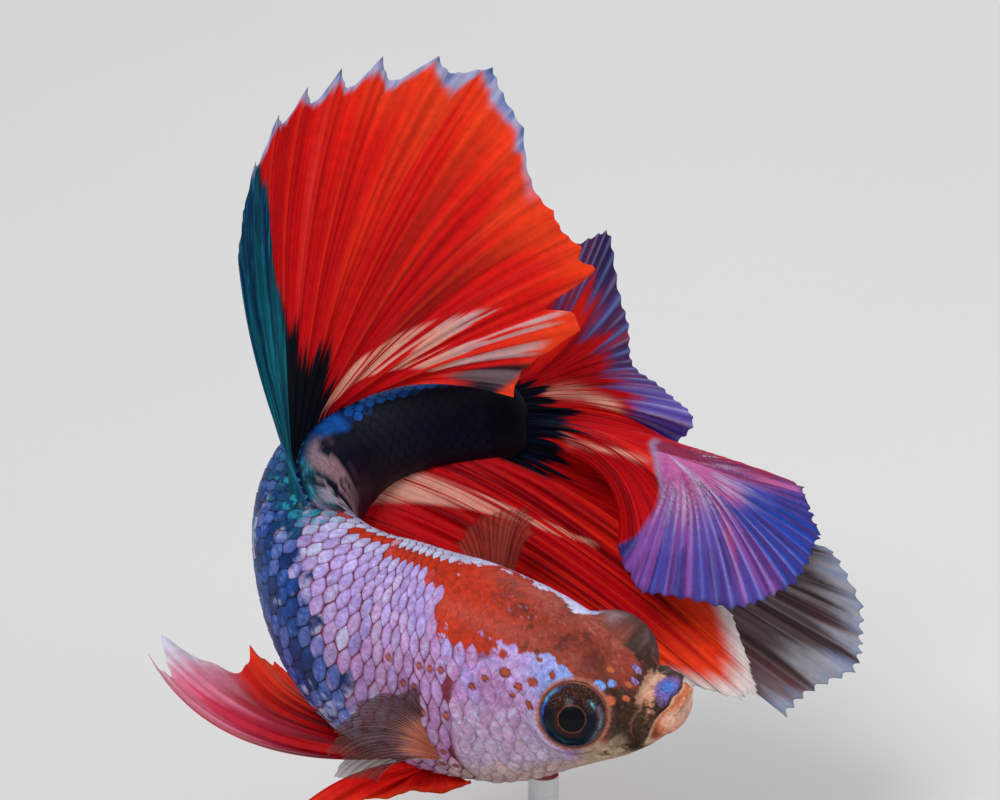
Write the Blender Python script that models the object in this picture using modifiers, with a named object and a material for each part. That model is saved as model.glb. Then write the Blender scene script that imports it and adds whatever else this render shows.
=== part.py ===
"""A male Siamese fighting fish (Betta splendens) on a display stand, life size.

The fish turns sharply to its left. Its trunk is a loft along a bent spine, parted by thin cuts
into head, trunk and tail stem. Each fin is a sheet of rays that fan out from a line on the skin.
Metres, +Z up. The origin is the middle of the underside of the stand's base.
"""

import math
from dataclasses import dataclass

import bmesh
import bpy
import numpy as np
from mathutils import Vector

MM = 0.001
GAP = 0.3 * MM  # left between solids that touch

# The spine: from the snout, straight, then bent to the fish's left and raised towards the tail
BODY_LENGTH = 55 * MM  # snout to the root of the tail fin
SNOUT = np.array([12.9, -10.6, 28.8]) * MM
HEADING = -25.0  # degrees from +X, where the head points
NOSE_UP = 3.0
BANK = 13.0  # rolled towards its right side
BODY_TURN = 168.0  # the whole bend, head to tail
BEND_FROM, BEND_FULL, BEND_EASE, BEND_LEFT = 0.335, 0.49, 0.84, 0.45
TAIL_RISE = 24.0
RISE_FROM, RISE_FULL, RISE_EASE, RISE_GONE = 0.28, 0.50, 0.58, 0.90
RISE_DROP = 1.1
SPINE_STEPS = 400

# Cross-sections: station, half width, back above the spine, belly below it, in body lengths
SECTIONS = np.array([
    [0.000, 0.022, 0.010, 0.010],
    [0.030, 0.044, 0.022, 0.057],
    [0.080, 0.066, 0.057, 0.090],
    [0.135, 0.082, 0.093, 0.112],
    [0.210, 0.098, 0.130, 0.142],
    [0.300, 0.106, 0.156, 0.158],
    [0.420, 0.102, 0.162, 0.152],
    [0.560, 0.084, 0.142, 0.130],
    [0.700, 0.060, 0.104, 0.098],
    [0.850, 0.038, 0.074, 0.068],
    [1.000, 0.016, 0.064, 0.058],
])
ROUNDNESS = 0.90  # power of the sections' superellipse, 1 is an ellipse
AROUND = 26  # facets round the body

# Where the body is parted, as stations along it
HEAD_END, TRUNK_END, BEND_END = 0.300, 0.450, 0.680

# Eyes
EYE_STATION, EYE_OUT, EYE_UP, EYE_RADIUS = 0.123, 4.2 * MM, 0.5 * MM, 2.5 * MM

# Jaws, in the head's side view: millimetres tailward of and above the snout's end of the spine
MOUTH_LINE = ((-1.5, 3.5), (2.3, -2.1))  # from in front of the lips down to the mouth's corner
LOWER_JAW = MOUTH_LINE + ((3.6, -6.5), (-1.5, -6.5))
UPPER_JAW = ((-1.2, 3.7), (2.6, -1.9), (3.2, -1.6), (2.6, 1.0), (2.7, 4.6), (-1.2, 4.6))
JAW_HALF_WIDTH = 8 * MM

# Gill covers, a patch of each cheek: stations and angles round the body (0 back, 180 belly)
GILL_FRONT, GILL_REAR, GILL_ROUND = 0.190, 0.242, 0.048
GILL_TOP, GILL_FOOT = 62.0, 150.0
GILL_PROUD, GILL_DEEP = 0.25 * MM, 0.9 * MM

# Stand
BASE_RADIUS, BASE_HEIGHT, BASE_BEVEL = 22 * MM, 5 * MM, 0.8 * MM
ROD_RADIUS, ROD_STATION, ROD_SINK = 1.1 * MM, 0.220, 0.25 * MM

FIN_THICKNESS = 0.5 * MM


@dataclass
class Fin:
    """A sheet of rays. Each row of `rays` is a share along the root, then where that ray's middle
    lies and where its tip lies, in millimetres along X, Y and Z from the ray's root."""

    name: str
    rays: tuple
    root: tuple  # "ridge", first station, last station, angle; or "flank", station, angles
    ray_count: int
    notch: float  # how far the web between two rays is cut back, as a share of their length
    steps: int  # facets along a ray


DORSAL = Fin("dorsal_fin", (
    (0.00, -3.5, 4.0, 8.5, -5.0, 4.5, 17.0),
    (0.12, -3.0, 4.0, 12.0, -3.5, 4.0, 22.5),
    (0.28, -1.0, 4.0, 15.5, 0.5, 4.0, 27.5),
    (0.46, 2.5, 3.0, 16.0, 6.5, 3.5, 29.0),
    (0.62, 6.0, 2.5, 14.0, 14.0, 3.5, 27.0),
    (0.76, 8.0, 1.0, 9.5, 17.0, 1.0, 16.5),
    (0.87, 9.0, -0.5, 6.0, 20.0, 0.0, 11.0),
    (0.94, 7.5, -1.0, 3.5, 16.5, -1.0, 5.0),
    (1.00, 5.0, -1.0, 2.0, 12.0, -2.0, 1.2),
), ("ridge", 0.575, 0.80, 0.0), 14, 0.07, 8)

TAIL = Fin("tail_fin", (
    (0.00, 2.0, 3.5, 2.5, 4.0, 8.5, 7.5),
    (0.07, 4.0, 4.0, 2.0, 8.5, 11.0, 9.0),
    (0.12, 5.2, 4.2, 1.2, 9.6, 9.2, 3.6),
    (0.17, 6.0, 4.0, 0.5, 10.2, 7.5, 0.0),
    (0.26, 7.0, 3.5, -1.0, 14.4, 6.2, -3.6),
    (0.32, 8.5, 4.5, -2.5, 12.0, 11.5, -8.5),
    (0.40, 10.0, 1.5, -2.5, 22.2, 0.5, -6.2),
    (0.48, 10.5, -1.5, -2.0, 23.2, -5.0, -8.0),
    (0.58, 9.5, -4.5, -1.0, 18.0, -9.5, -11.0),
    (0.67, 8.0, -5.0, -1.0, 9.5, -10.0, -9.0),
    (0.73, 7.0, -3.5, -1.5, 8.0, -6.5, -7.0),
    (0.82, 11.0, 0.5, -4.5, 25.0, 2.0, -9.5),
    (0.90, 11.0, 0.0, -6.5, 28.0, -0.5, -16.0),
    (1.00, 8.0, -0.5, -7.0, 22.4, -4.5, -19.5),
), ("stem",), 16, 0.04, 9)

ANAL = Fin("anal_fin", (
    (0.00, 0.5, 1.5, -3.0, 1.0, 3.5, -5.5),
    (0.15, 4.5, 1.5, -6.0, 11.0, 2.0, -11.0),
    (0.35, 9.0, -0.5, -5.5, 19.5, -3.0, -13.5),
    (0.55, 11.5, -2.5, -4.5, 24.5, -5.5, -13.0),
    (0.75, 11.5, -4.5, -4.5, 25.6, -8.5, -15.3),
    (0.90, 9.5, -4.0, -4.5, 22.6, -7.8, -14.6),
    (1.00, 8.0, -3.0, -3.6, 18.5, -5.5, -10.8),
), ("ridge", 0.52, 0.97, 180.0), 16, 0.04, 7)

PELVIC_LEFT = Fin("pelvic_fin_left", (
    (0.00, -14.5, -0.5, 0.0, -23.5, 5.5, 5.0),
    (0.20, -13.0, 1.0, 0.5, -23.0, 7.5, 5.5),
    (0.42, -10.5, 2.5, 1.0, -16.0, 9.0, 3.5),
    (0.62, -8.5, 3.5, 1.0, -14.0, 10.0, 3.5),
    (0.80, -7.0, 4.0, 0.0, -11.5, 8.5, 1.0),
    (1.00, -4.0, 3.5, -0.5, -8.0, 8.0, -0.5),
), ("ridge", 0.33, 0.365, 170.0), 5, 0.10, 6)

PELVIC_RIGHT = Fin("pelvic_fin_right", (
    (0.00, -7.5, -4.5, 1.0, -13.5, -7.5, -3.5),
    (0.30, -5.0, -4.0, 0.0, -9.0, -5.5, -2.5),
    (0.60, -2.5, -3.5, -0.5, -4.0, -4.0, -1.0),
    (0.85, 1.0, -3.0, -0.5, 0.5, -2.5, -1.5),
    (1.00, 3.0, -2.5, -0.5, 3.5, -2.0, -1.5),
), ("ridge", 0.33, 0.365, -170.0), 5, 0.10, 6)

PECTORAL_RIGHT = Fin("pectoral_fin_right", (
    (0.00, -0.5, -0.5, 2.5, -1.5, -1.5, 5.0),
    (0.30, -3.0, -2.0, 4.0, -5.5, -4.0, 5.0),
    (0.60, -4.5, -3.5, 3.5, -8.0, -5.5, 2.5),
    (0.85, -4.5, -3.5, 2.0, -7.5, -4.5, 0.0),
    (1.00, -3.0, -2.5, 1.0, -4.5, -3.0, -0.5),
), ("flank", 0.315, -106.0, -124.0), 7, 0.05, 5)

PECTORAL_LEFT = Fin("pectoral_fin_left", (
    (0.00, -1.5, 3.0, 4.5, -3.0, 5.5, 6.5),
    (0.35, -0.5, 4.0, 6.5, -1.0, 7.0, 9.0),
    (0.70, 1.0, 4.0, 8.5, 2.5, 7.0, 10.0),
    (1.00, 1.5, 3.0, 8.0, 3.0, 5.0, 9.5),
), ("flank", 0.315, 106.0, 124.0), 7, 0.05, 5)

FINS = (DORSAL, TAIL, ANAL, PELVIC_LEFT, PELVIC_RIGHT, PECTORAL_LEFT, PECTORAL_RIGHT)


# --- the fish's form ---------------------------------------------------------------------------


def smooth(t):
    t = np.clip(t, 0, 1)
    return t * t * (3 - 2 * t)


def through_stations(x, xs, ys):
    """A smooth curve through stations, with no overshoot between them."""
    x = np.clip(np.asarray(x, float), xs[0], xs[-1])
    step = np.diff(xs)
    slope = np.diff(ys) / step
    joined = slope[1:] * slope[:-1] > 0
    total = np.where(joined, slope[1:] + slope[:-1], 1)
    tangent = np.concatenate([
        slope[:1], np.where(joined, 2 * slope[1:] * slope[:-1] / total, 0), slope[-1:]
    ])
    i = np.clip(np.searchsorted(xs, x) - 1, 0, len(xs) - 2)
    t = (x - xs[i]) / step[i]
    rise = smooth(t)
    return (
        ys[i] * (1 - rise)
        + ys[i + 1] * rise
        + step[i] * (tangent[i] * t * (1 - t) ** 2 - tangent[i + 1] * t * t * (1 - t))
    )


def head_axes():
    """Forward, left and up of the head."""
    heading, nose_up, bank = (math.radians(a) for a in (HEADING, NOSE_UP, BANK))
    forward = np.array([
        math.cos(heading) * math.cos(nose_up),
        math.sin(heading) * math.cos(nose_up),
        math.sin(nose_up),
    ])
    level_left = np.cross([0, 0, 1.0], forward)
    level_left /= np.linalg.norm(level_left)
    level_up = np.cross(forward, level_left)
    left = level_left * math.cos(bank) + level_up * math.sin(bank)
    up = level_up * math.cos(bank) - level_left * math.sin(bank)
    return forward, left, up


FORWARD, LEFT, UP = head_axes()


def bent_axes(turn, rise):
    """Tailward, left and up where the spine has turned and risen by these angles."""
    cos_turn, sin_turn = np.cos(turn)[..., None], np.sin(turn)[..., None]
    cos_rise, sin_rise = np.cos(rise)[..., None], np.sin(rise)[..., None]
    flat = sin_turn * LEFT - cos_turn * FORWARD
    left = cos_turn * LEFT + sin_turn * FORWARD
    return flat * cos_rise + UP * sin_rise, left, UP * cos_rise - flat * sin_rise


def make_spine():
    """Stations, and the place, turn and rise of the spine at each."""
    s = np.linspace(0, 1, SPINE_STEPS + 1)
    easing = 1 - (1 - BEND_LEFT) * smooth((s - BEND_EASE) / (1 - BEND_EASE))
    bend = smooth((s - BEND_FROM) / (BEND_FULL - BEND_FROM)) * easing
    turn = np.concatenate([[0], np.cumsum((bend[1:] + bend[:-1]) / 2)])
    turn *= math.radians(BODY_TURN) / turn[-1]
    drop = 1 - RISE_DROP * smooth((s - RISE_EASE) / (RISE_GONE - RISE_EASE))
    rise = math.radians(TAIL_RISE) * smooth((s - RISE_FROM) / (RISE_FULL - RISE_FROM)) * drop
    tailward = bent_axes(turn, rise)[0]
    path = np.cumsum((tailward[1:] + tailward[:-1]) / 2, axis=0) * BODY_LENGTH / SPINE_STEPS
    return s, SNOUT + np.vstack([np.zeros(3), path]), turn, rise


SPINE_S, SPINE, SPINE_TURN, SPINE_RISE = make_spine()


def spine_at(s):
    """Place, tailward, left and up at stations of the spine, which runs on straight past 1."""
    s = np.asarray(s, float)
    place = np.stack([np.interp(s, SPINE_S, SPINE[:, k]) for k in range(3)], -1)
    turn, rise = np.interp(s, SPINE_S, SPINE_TURN), np.interp(s, SPINE_S, SPINE_RISE)
    tailward, left, up = bent_axes(turn, rise)
    place = place + np.maximum(s - 1, 0)[..., None] * BODY_LENGTH * tailward
    return place, tailward, left, up


def section_at(s):
    """Half width, back height and belly depth at stations."""
    return [through_stations(s, SECTIONS[:, 0], SECTIONS[:, k]) * BODY_LENGTH for k in (1, 2, 3)]


def skin_point(s, degrees, outward=0.0):
    """Points on the skin, or this far outside it: angle 0 is the back, 90 the left flank."""
    s, degrees = np.broadcast_arrays(np.asarray(s, float), np.asarray(degrees, float))
    width, back, belly = section_at(s)
    place, _, left, up = spine_at(s)
    cos, sin = np.cos(np.radians(degrees)), np.sin(np.radians(degrees))
    cos = np.sign(cos) * np.abs(cos) ** ROUNDNESS
    sin = np.sign(sin) * np.abs(sin) ** ROUNDNESS
    middle, half = (back - belly) / 2, (back + belly) / 2
    rise = middle + (half + outward) * cos
    return place + rise[..., None] * up + ((width + outward) * sin)[..., None] * left


def in_head(tailward_mm, up_mm, left=0.0):
    """A point of the head's side view."""
    return SNOUT - FORWARD * tailward_mm * MM + UP * up_mm * MM + LEFT * left


# --- the fins' form ----------------------------------------------------------------------------


def fin_root(fin, share):
    """Points along the line that a fin grows from, just clear of the skin."""
    kind, *where = fin.root
    clear = GAP + 0.15 * MM
    if kind == "ridge":
        first, last, degrees = where
        return skin_point(first + (last - first) * share, degrees, clear)
    if kind == "flank":
        station, first, last = where
        return skin_point(station, first + (last - first) * share, clear + 0.2 * MM)
    place, tailward, _, up = spine_at(1 + 0 * share)
    _, back, belly = (side[()] for side in section_at(1.0))
    height = (back * (1 - share) - belly * share) * 0.92
    bulge = clear + 0.9 * MM * np.sin(math.pi * share)
    return place + up * height[..., None] + tailward * bulge[..., None]


def fin_point(fin, share, along):
    """Points of a fin: share across its rays, and along from root to margin."""
    share, along = np.broadcast_arrays(np.asarray(share, float), np.asarray(along, float))
    rays = np.array(fin.rays)
    middle, tip = (
        np.stack([through_stations(share, rays[:, 0], rays[:, k]) for k in columns], -1) * MM
        for columns in ((1, 2, 3), (4, 5, 6))
    )
    pull = 2 * middle - tip / 2  # the control point that sends the ray through its middle
    t = along[..., None]
    return fin_root(fin, share) + 2 * t * (1 - t) * pull + t * t * tip


# --- Blender objects ---------------------------------------------------------------------------


def clear_scene():
    for obj in list(bpy.data.objects):
        bpy.data.objects.remove(obj, do_unlink=True)


def make_collection(name):
    collection = bpy.data.collections.new(name)
    bpy.context.scene.collection.children.link(collection)
    return collection


def make_material(name, colour, roughness, metallic=0.0):
    material = bpy.data.materials.new(name)
    material.use_nodes = True
    shader = material.node_tree.nodes["Principled BSDF"]
    shader.inputs["Base Color"].default_value = (*colour, 1.0)
    shader.inputs["Roughness"].default_value = roughness
    shader.inputs["Metallic"].default_value = metallic
    return material


def add_object(name, mesh_source, collection, material=None):
    """An object from a bmesh, with its faces turned outward."""
    bmesh.ops.recalc_face_normals(mesh_source, faces=mesh_source.faces)
    mesh = bpy.data.meshes.new(name)
    mesh_source.to_mesh(mesh)
    mesh_source.free()
    if material:
        mesh.materials.append(material)
    mesh.shade_smooth()
    obj = bpy.data.objects.new(name, mesh)
    collection.objects.link(obj)
    return obj


def lattice(points, closed_around):
    """A bmesh with a face between each four neighbours of a grid of points."""
    shape = bmesh.new()
    rows = [[shape.verts.new(p) for p in row] for row in points]
    columns = len(rows[0])
    for near, far in zip(rows, rows[1:]):
        for k in range(columns if closed_around else columns - 1):
            after = (k + 1) % columns
            shape.faces.new((near[k], near[after], far[after], far[k]))
    return shape, rows


def loft(first, last, steps):
    """A capped length of the body, between two stations."""
    stations = np.linspace(first, last, steps + 1)[:, None]
    degrees = np.linspace(0, 360, AROUND, endpoint=False)[None, :]
    shape, rows = lattice(skin_point(stations, degrees), closed_around=True)
    shape.faces.new(rows[0])
    shape.faces.new(rows[-1])
    return shape


def plate(outer, inner):
    """A closed plate between two like grids of points."""
    shape = bmesh.new()
    sheets = [[[shape.verts.new(p) for p in row] for row in side] for side in (outer, inner)]
    row_count, column_count = len(outer), len(outer[0])
    for sheet in sheets:
        for i in range(row_count - 1):
            for k in range(column_count - 1):
                shape.faces.new((sheet[i][k], sheet[i][k + 1], sheet[i + 1][k + 1], sheet[i + 1][k]))
    rim = [(0, k) for k in range(column_count)]
    rim += [(i, column_count - 1) for i in range(1, row_count)]
    rim += [(row_count - 1, k) for k in range(column_count - 2, -1, -1)]
    rim += [(i, 0) for i in range(row_count - 2, 0, -1)]
    for here, there in zip(rim, rim[1:] + rim[:1]):
        corners = [sheets[side][i][k] for side, (i, k) in ((0, here), (0, there), (1, there), (1, here))]
        shape.faces.new(corners)
    return shape


def boolean(obj, cutter, operation):
    modifier = obj.modifiers.new(f"{operation.lower()}_{cutter.name}", "BOOLEAN")
    modifier.operation = operation
    modifier.object = cutter


def as_cutter(obj):
    obj.hide_render = True
    obj.display_type = "WIRE"
    return obj


def ball(centre, radius, segments=16, rings=10):
    shape = bmesh.new()
    bmesh.ops.create_uvsphere(shape, u_segments=segments, v_segments=rings, radius=radius)
    bmesh.ops.translate(shape, verts=shape.verts, vec=Vector(centre))
    return shape


def side_view_block(outline, grow):
    """A block across the head whose side view is this outline, with its edges moved out."""
    outline = np.array(outline)
    ahead = np.roll(outline, -1, axis=0) - outline
    behind = outline - np.roll(outline, 1, axis=0)
    twice_area = np.sum(outline[:, 0] * ahead[:, 1] - outline[:, 1] * ahead[:, 0])
    turn = math.copysign(1, twice_area)
    normals = [turn * np.stack([v[:, 1], -v[:, 0]], 1) / np.linalg.norm(v, axis=1)[:, None]
               for v in (ahead, behind)]
    corner = normals[0] + normals[1]
    corner *= (2 / np.sum(corner**2, axis=1))[:, None]
    moved = outline + corner * grow / MM
    shape = bmesh.new()
    sides = [
        [shape.verts.new(in_head(x, y, side * (JAW_HALF_WIDTH + grow))) for x, y in moved]
        for side in (-1, 1)
    ]
    for k in range(len(moved)):
        after = (k + 1) % len(moved)
        shape.faces.new((sides[0][k], sides[0][after], sides[1][after], sides[1][k]))
    shape.faces.new(sides[0])
    shape.faces.new(sides[1])
    return shape


def gill_plate(side, grow, proud):
    """A gill cover, or the recess it lies in where `grow` widens it."""
    margin = grow / BODY_LENGTH
    margin_degrees = math.degrees(grow / section_at(GILL_REAR)[0])
    down = np.linspace(0, 1, 11)[:, None]
    back = np.linspace(0, 1, 7)[None, :]
    degrees = GILL_TOP - margin_degrees + (GILL_FOOT - GILL_TOP + 2 * margin_degrees) * down
    rear = GILL_REAR + GILL_ROUND * np.sin(math.pi * down) ** 0.6 + margin
    front = GILL_FRONT - margin
    stations = front + (rear - front) * back
    return plate(
        skin_point(stations, side * degrees, proud),
        skin_point(stations, side * degrees, -GILL_DEEP - grow),
    )


def build_body(parts, cutters, skins):
    half_gap = GAP / 2 / BODY_LENGTH
    head = add_object("head", loft(0.0, HEAD_END - half_gap, 14), parts, skins["head"])
    cuts = (
        ("trunk", HEAD_END, TRUNK_END, 8),
        ("trunk_bend", TRUNK_END, BEND_END, 14),
        ("tail_stem", BEND_END, 1.0, 10),
    )
    for name, first, last, steps in cuts:
        last_cut = last if last == 1.0 else last - half_gap
        add_object(name, loft(first + half_gap, last_cut, steps), parts, skins[name])

    for name, outline in (("upper_jaw", UPPER_JAW), ("lower_jaw", LOWER_JAW)):
        jaw = add_object(name, loft(0.0, HEAD_END - half_gap, 14), parts, skins[name])
        block = add_object(f"{name}_block", side_view_block(outline, 0.0), cutters)
        boolean(jaw, as_cutter(block), "INTERSECT")
        room = add_object(f"{name}_room", side_view_block(outline, GAP), cutters)
        boolean(head, as_cutter(room), "DIFFERENCE")

    for side_name, side in (("left", 1), ("right", -1)):
        place, _, left, up = spine_at(EYE_STATION)
        centre = place + left * side * EYE_OUT + up * EYE_UP
        add_object(f"eye_{side_name}", ball(centre, EYE_RADIUS), parts, skins["eye"])
        socket = add_object(f"socket_{side_name}", ball(centre, EYE_RADIUS + GAP), cutters)
        boolean(head, as_cutter(socket), "DIFFERENCE")
        cover = gill_plate(side, 0.0, GILL_PROUD)
        add_object(f"gill_cover_{side_name}", cover, parts, skins["head"])
        recess = gill_plate(side, GAP, GILL_PROUD + 1 * MM)
        boolean(head, as_cutter(add_object(f"recess_{side_name}", recess, cutters)), "DIFFERENCE")


def build_fin(fin, parts, skin):
    """A fin's sheet of rays, thickened. Every second column is a ray, and the others are web."""
    columns = 2 * fin.ray_count - 1
    share = np.linspace(0, 1, columns)[:, None]
    length = 1 - fin.notch * (np.arange(columns) % 2)[:, None]
    along = np.linspace(0, 1, fin.steps + 1)[None, :] * length
    shape, _ = lattice(fin_point(fin, share, along), closed_around=False)
    obj = add_object(fin.name, shape, parts, skin)
    thickness = obj.modifiers.new("thickness", "SOLIDIFY")
    thickness.thickness = FIN_THICKNESS
    thickness.offset = 0.0
    return obj


def build_stand(parts, black, steel):
    base = bmesh.new()
    bmesh.ops.create_cone(
        base, cap_ends=True, segments=48, radius1=BASE_RADIUS, radius2=BASE_RADIUS, depth=BASE_HEIGHT
    )
    bmesh.ops.translate(base, verts=base.verts, vec=(0, 0, BASE_HEIGHT / 2))
    top = [e for e in base.edges if all(v.co.z > BASE_HEIGHT / 2 for v in e.verts)]
    bmesh.ops.bevel(base, geom=top, offset=BASE_BEVEL, segments=3, profile=0.5, affect="EDGES")
    add_object("stand_base", base, parts, black)

    top_point = skin_point(ROD_STATION, 180.0)
    foot = BASE_HEIGHT + GAP
    head = top_point[2] - GAP - ROD_SINK
    rod = bmesh.new()
    bmesh.ops.create_cone(
        rod, cap_ends=True, segments=20, radius1=ROD_RADIUS, radius2=ROD_RADIUS, depth=head - foot
    )
    bmesh.ops.translate(rod, verts=rod.verts, vec=(top_point[0], top_point[1], (head + foot) / 2))
    add_object("stand_rod", rod, parts, steel)


def main():
    clear_scene()
    parts = make_collection("betta_fish")
    cutters = make_collection("cutters")
    brick = make_material("head_brick", (0.45, 0.08, 0.04), 0.45)
    lip = make_material("lip_pink", (0.75, 0.42, 0.33), 0.5)
    lilac = make_material("flank_lilac", (0.52, 0.36, 0.62), 0.4)
    blue = make_material("bend_blue", (0.05, 0.10, 0.38), 0.4)
    navy = make_material("stem_navy", (0.01, 0.015, 0.05), 0.4)
    skins = {
        "head": brick,
        "upper_jaw": make_material("upper_jaw_brown", (0.16, 0.05, 0.03), 0.45),
        "lower_jaw": lip,
        "trunk": lilac,
        "trunk_bend": blue,
        "tail_stem": navy,
        "eye": make_material("eye_black", (0.01, 0.008, 0.008), 0.1),
    }
    build_body(parts, cutters, skins)
    red = make_material("fin_red", (0.75, 0.02, 0.01), 0.5)
    smoky = make_material("pectoral_smoky", (0.35, 0.2, 0.17), 0.5)
    for fin in FINS:
        build_fin(fin, parts, smoky if fin.name.startswith("pectoral") else red)
    build_stand(
        parts,
        make_material("stand_black", (0.02, 0.02, 0.02), 0.35),
        make_material("stand_steel", (0.55, 0.55, 0.56), 0.3, 1.0),
    )


main()
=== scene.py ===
"""The looks of the betta fish on its display stand: skin, scales, eyes, fins, stand and studio.

The fish's form repeats the spine, cross-sections and fin rays of the solids. Metres, +Z up.
"""

import math

import bpy
import numpy as np
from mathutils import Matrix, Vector


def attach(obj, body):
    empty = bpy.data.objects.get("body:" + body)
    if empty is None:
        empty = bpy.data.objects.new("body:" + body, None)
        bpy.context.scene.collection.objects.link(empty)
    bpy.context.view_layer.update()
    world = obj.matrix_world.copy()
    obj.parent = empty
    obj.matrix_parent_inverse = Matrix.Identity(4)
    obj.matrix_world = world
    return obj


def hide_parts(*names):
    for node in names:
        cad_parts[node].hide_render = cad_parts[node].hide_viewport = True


MM = 0.001
SEED = 7

# ------------------------------------------------------------------------------ the fish's form

BODY_LENGTH = 55 * MM  # snout to the root of the tail fin
SNOUT = np.array([12.9, -10.6, 28.8]) * MM
HEADING, NOSE_UP, BANK = -25.0, 3.0, 13.0  # degrees
BODY_TURN = 168.0  # degrees that the spine turns to its left from head to tail
BEND_FROM, BEND_FULL, BEND_EASE, BEND_LEFT = 0.335, 0.49, 0.84, 0.45
TAIL_RISE = 24.0
RISE_FROM, RISE_FULL, RISE_EASE, RISE_GONE = 0.28, 0.50, 0.58, 0.90
RISE_DROP = 1.1
SPINE_STEPS = 400

# Station, half width, back above the spine, belly below it, in body lengths
SECTIONS = np.array([
    [0.000, 0.022, 0.010, 0.010],
    [0.030, 0.044, 0.022, 0.057],
    [0.080, 0.066, 0.057, 0.090],
    [0.135, 0.082, 0.093, 0.112],
    [0.210, 0.098, 0.130, 0.142],
    [0.300, 0.106, 0.156, 0.158],
    [0.420, 0.102, 0.162, 0.152],
    [0.560, 0.084, 0.142, 0.130],
    [0.700, 0.060, 0.104, 0.098],
    [0.850, 0.038, 0.074, 0.068],
    [1.000, 0.016, 0.064, 0.058],
])
ROUNDNESS = 0.90
COAT = 0.20 * MM  # the scales' depth, by which the skin lies inside the solids

EYE_STATION, EYE_OUT, EYE_UP, EYE_RADIUS = 0.123, 4.2 * MM, 0.5 * MM, 2.5 * MM
GILL_REAR, GILL_ROUND = 0.242, 0.048
GILL_TOP, GILL_FOOT = 62.0, 150.0

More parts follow.
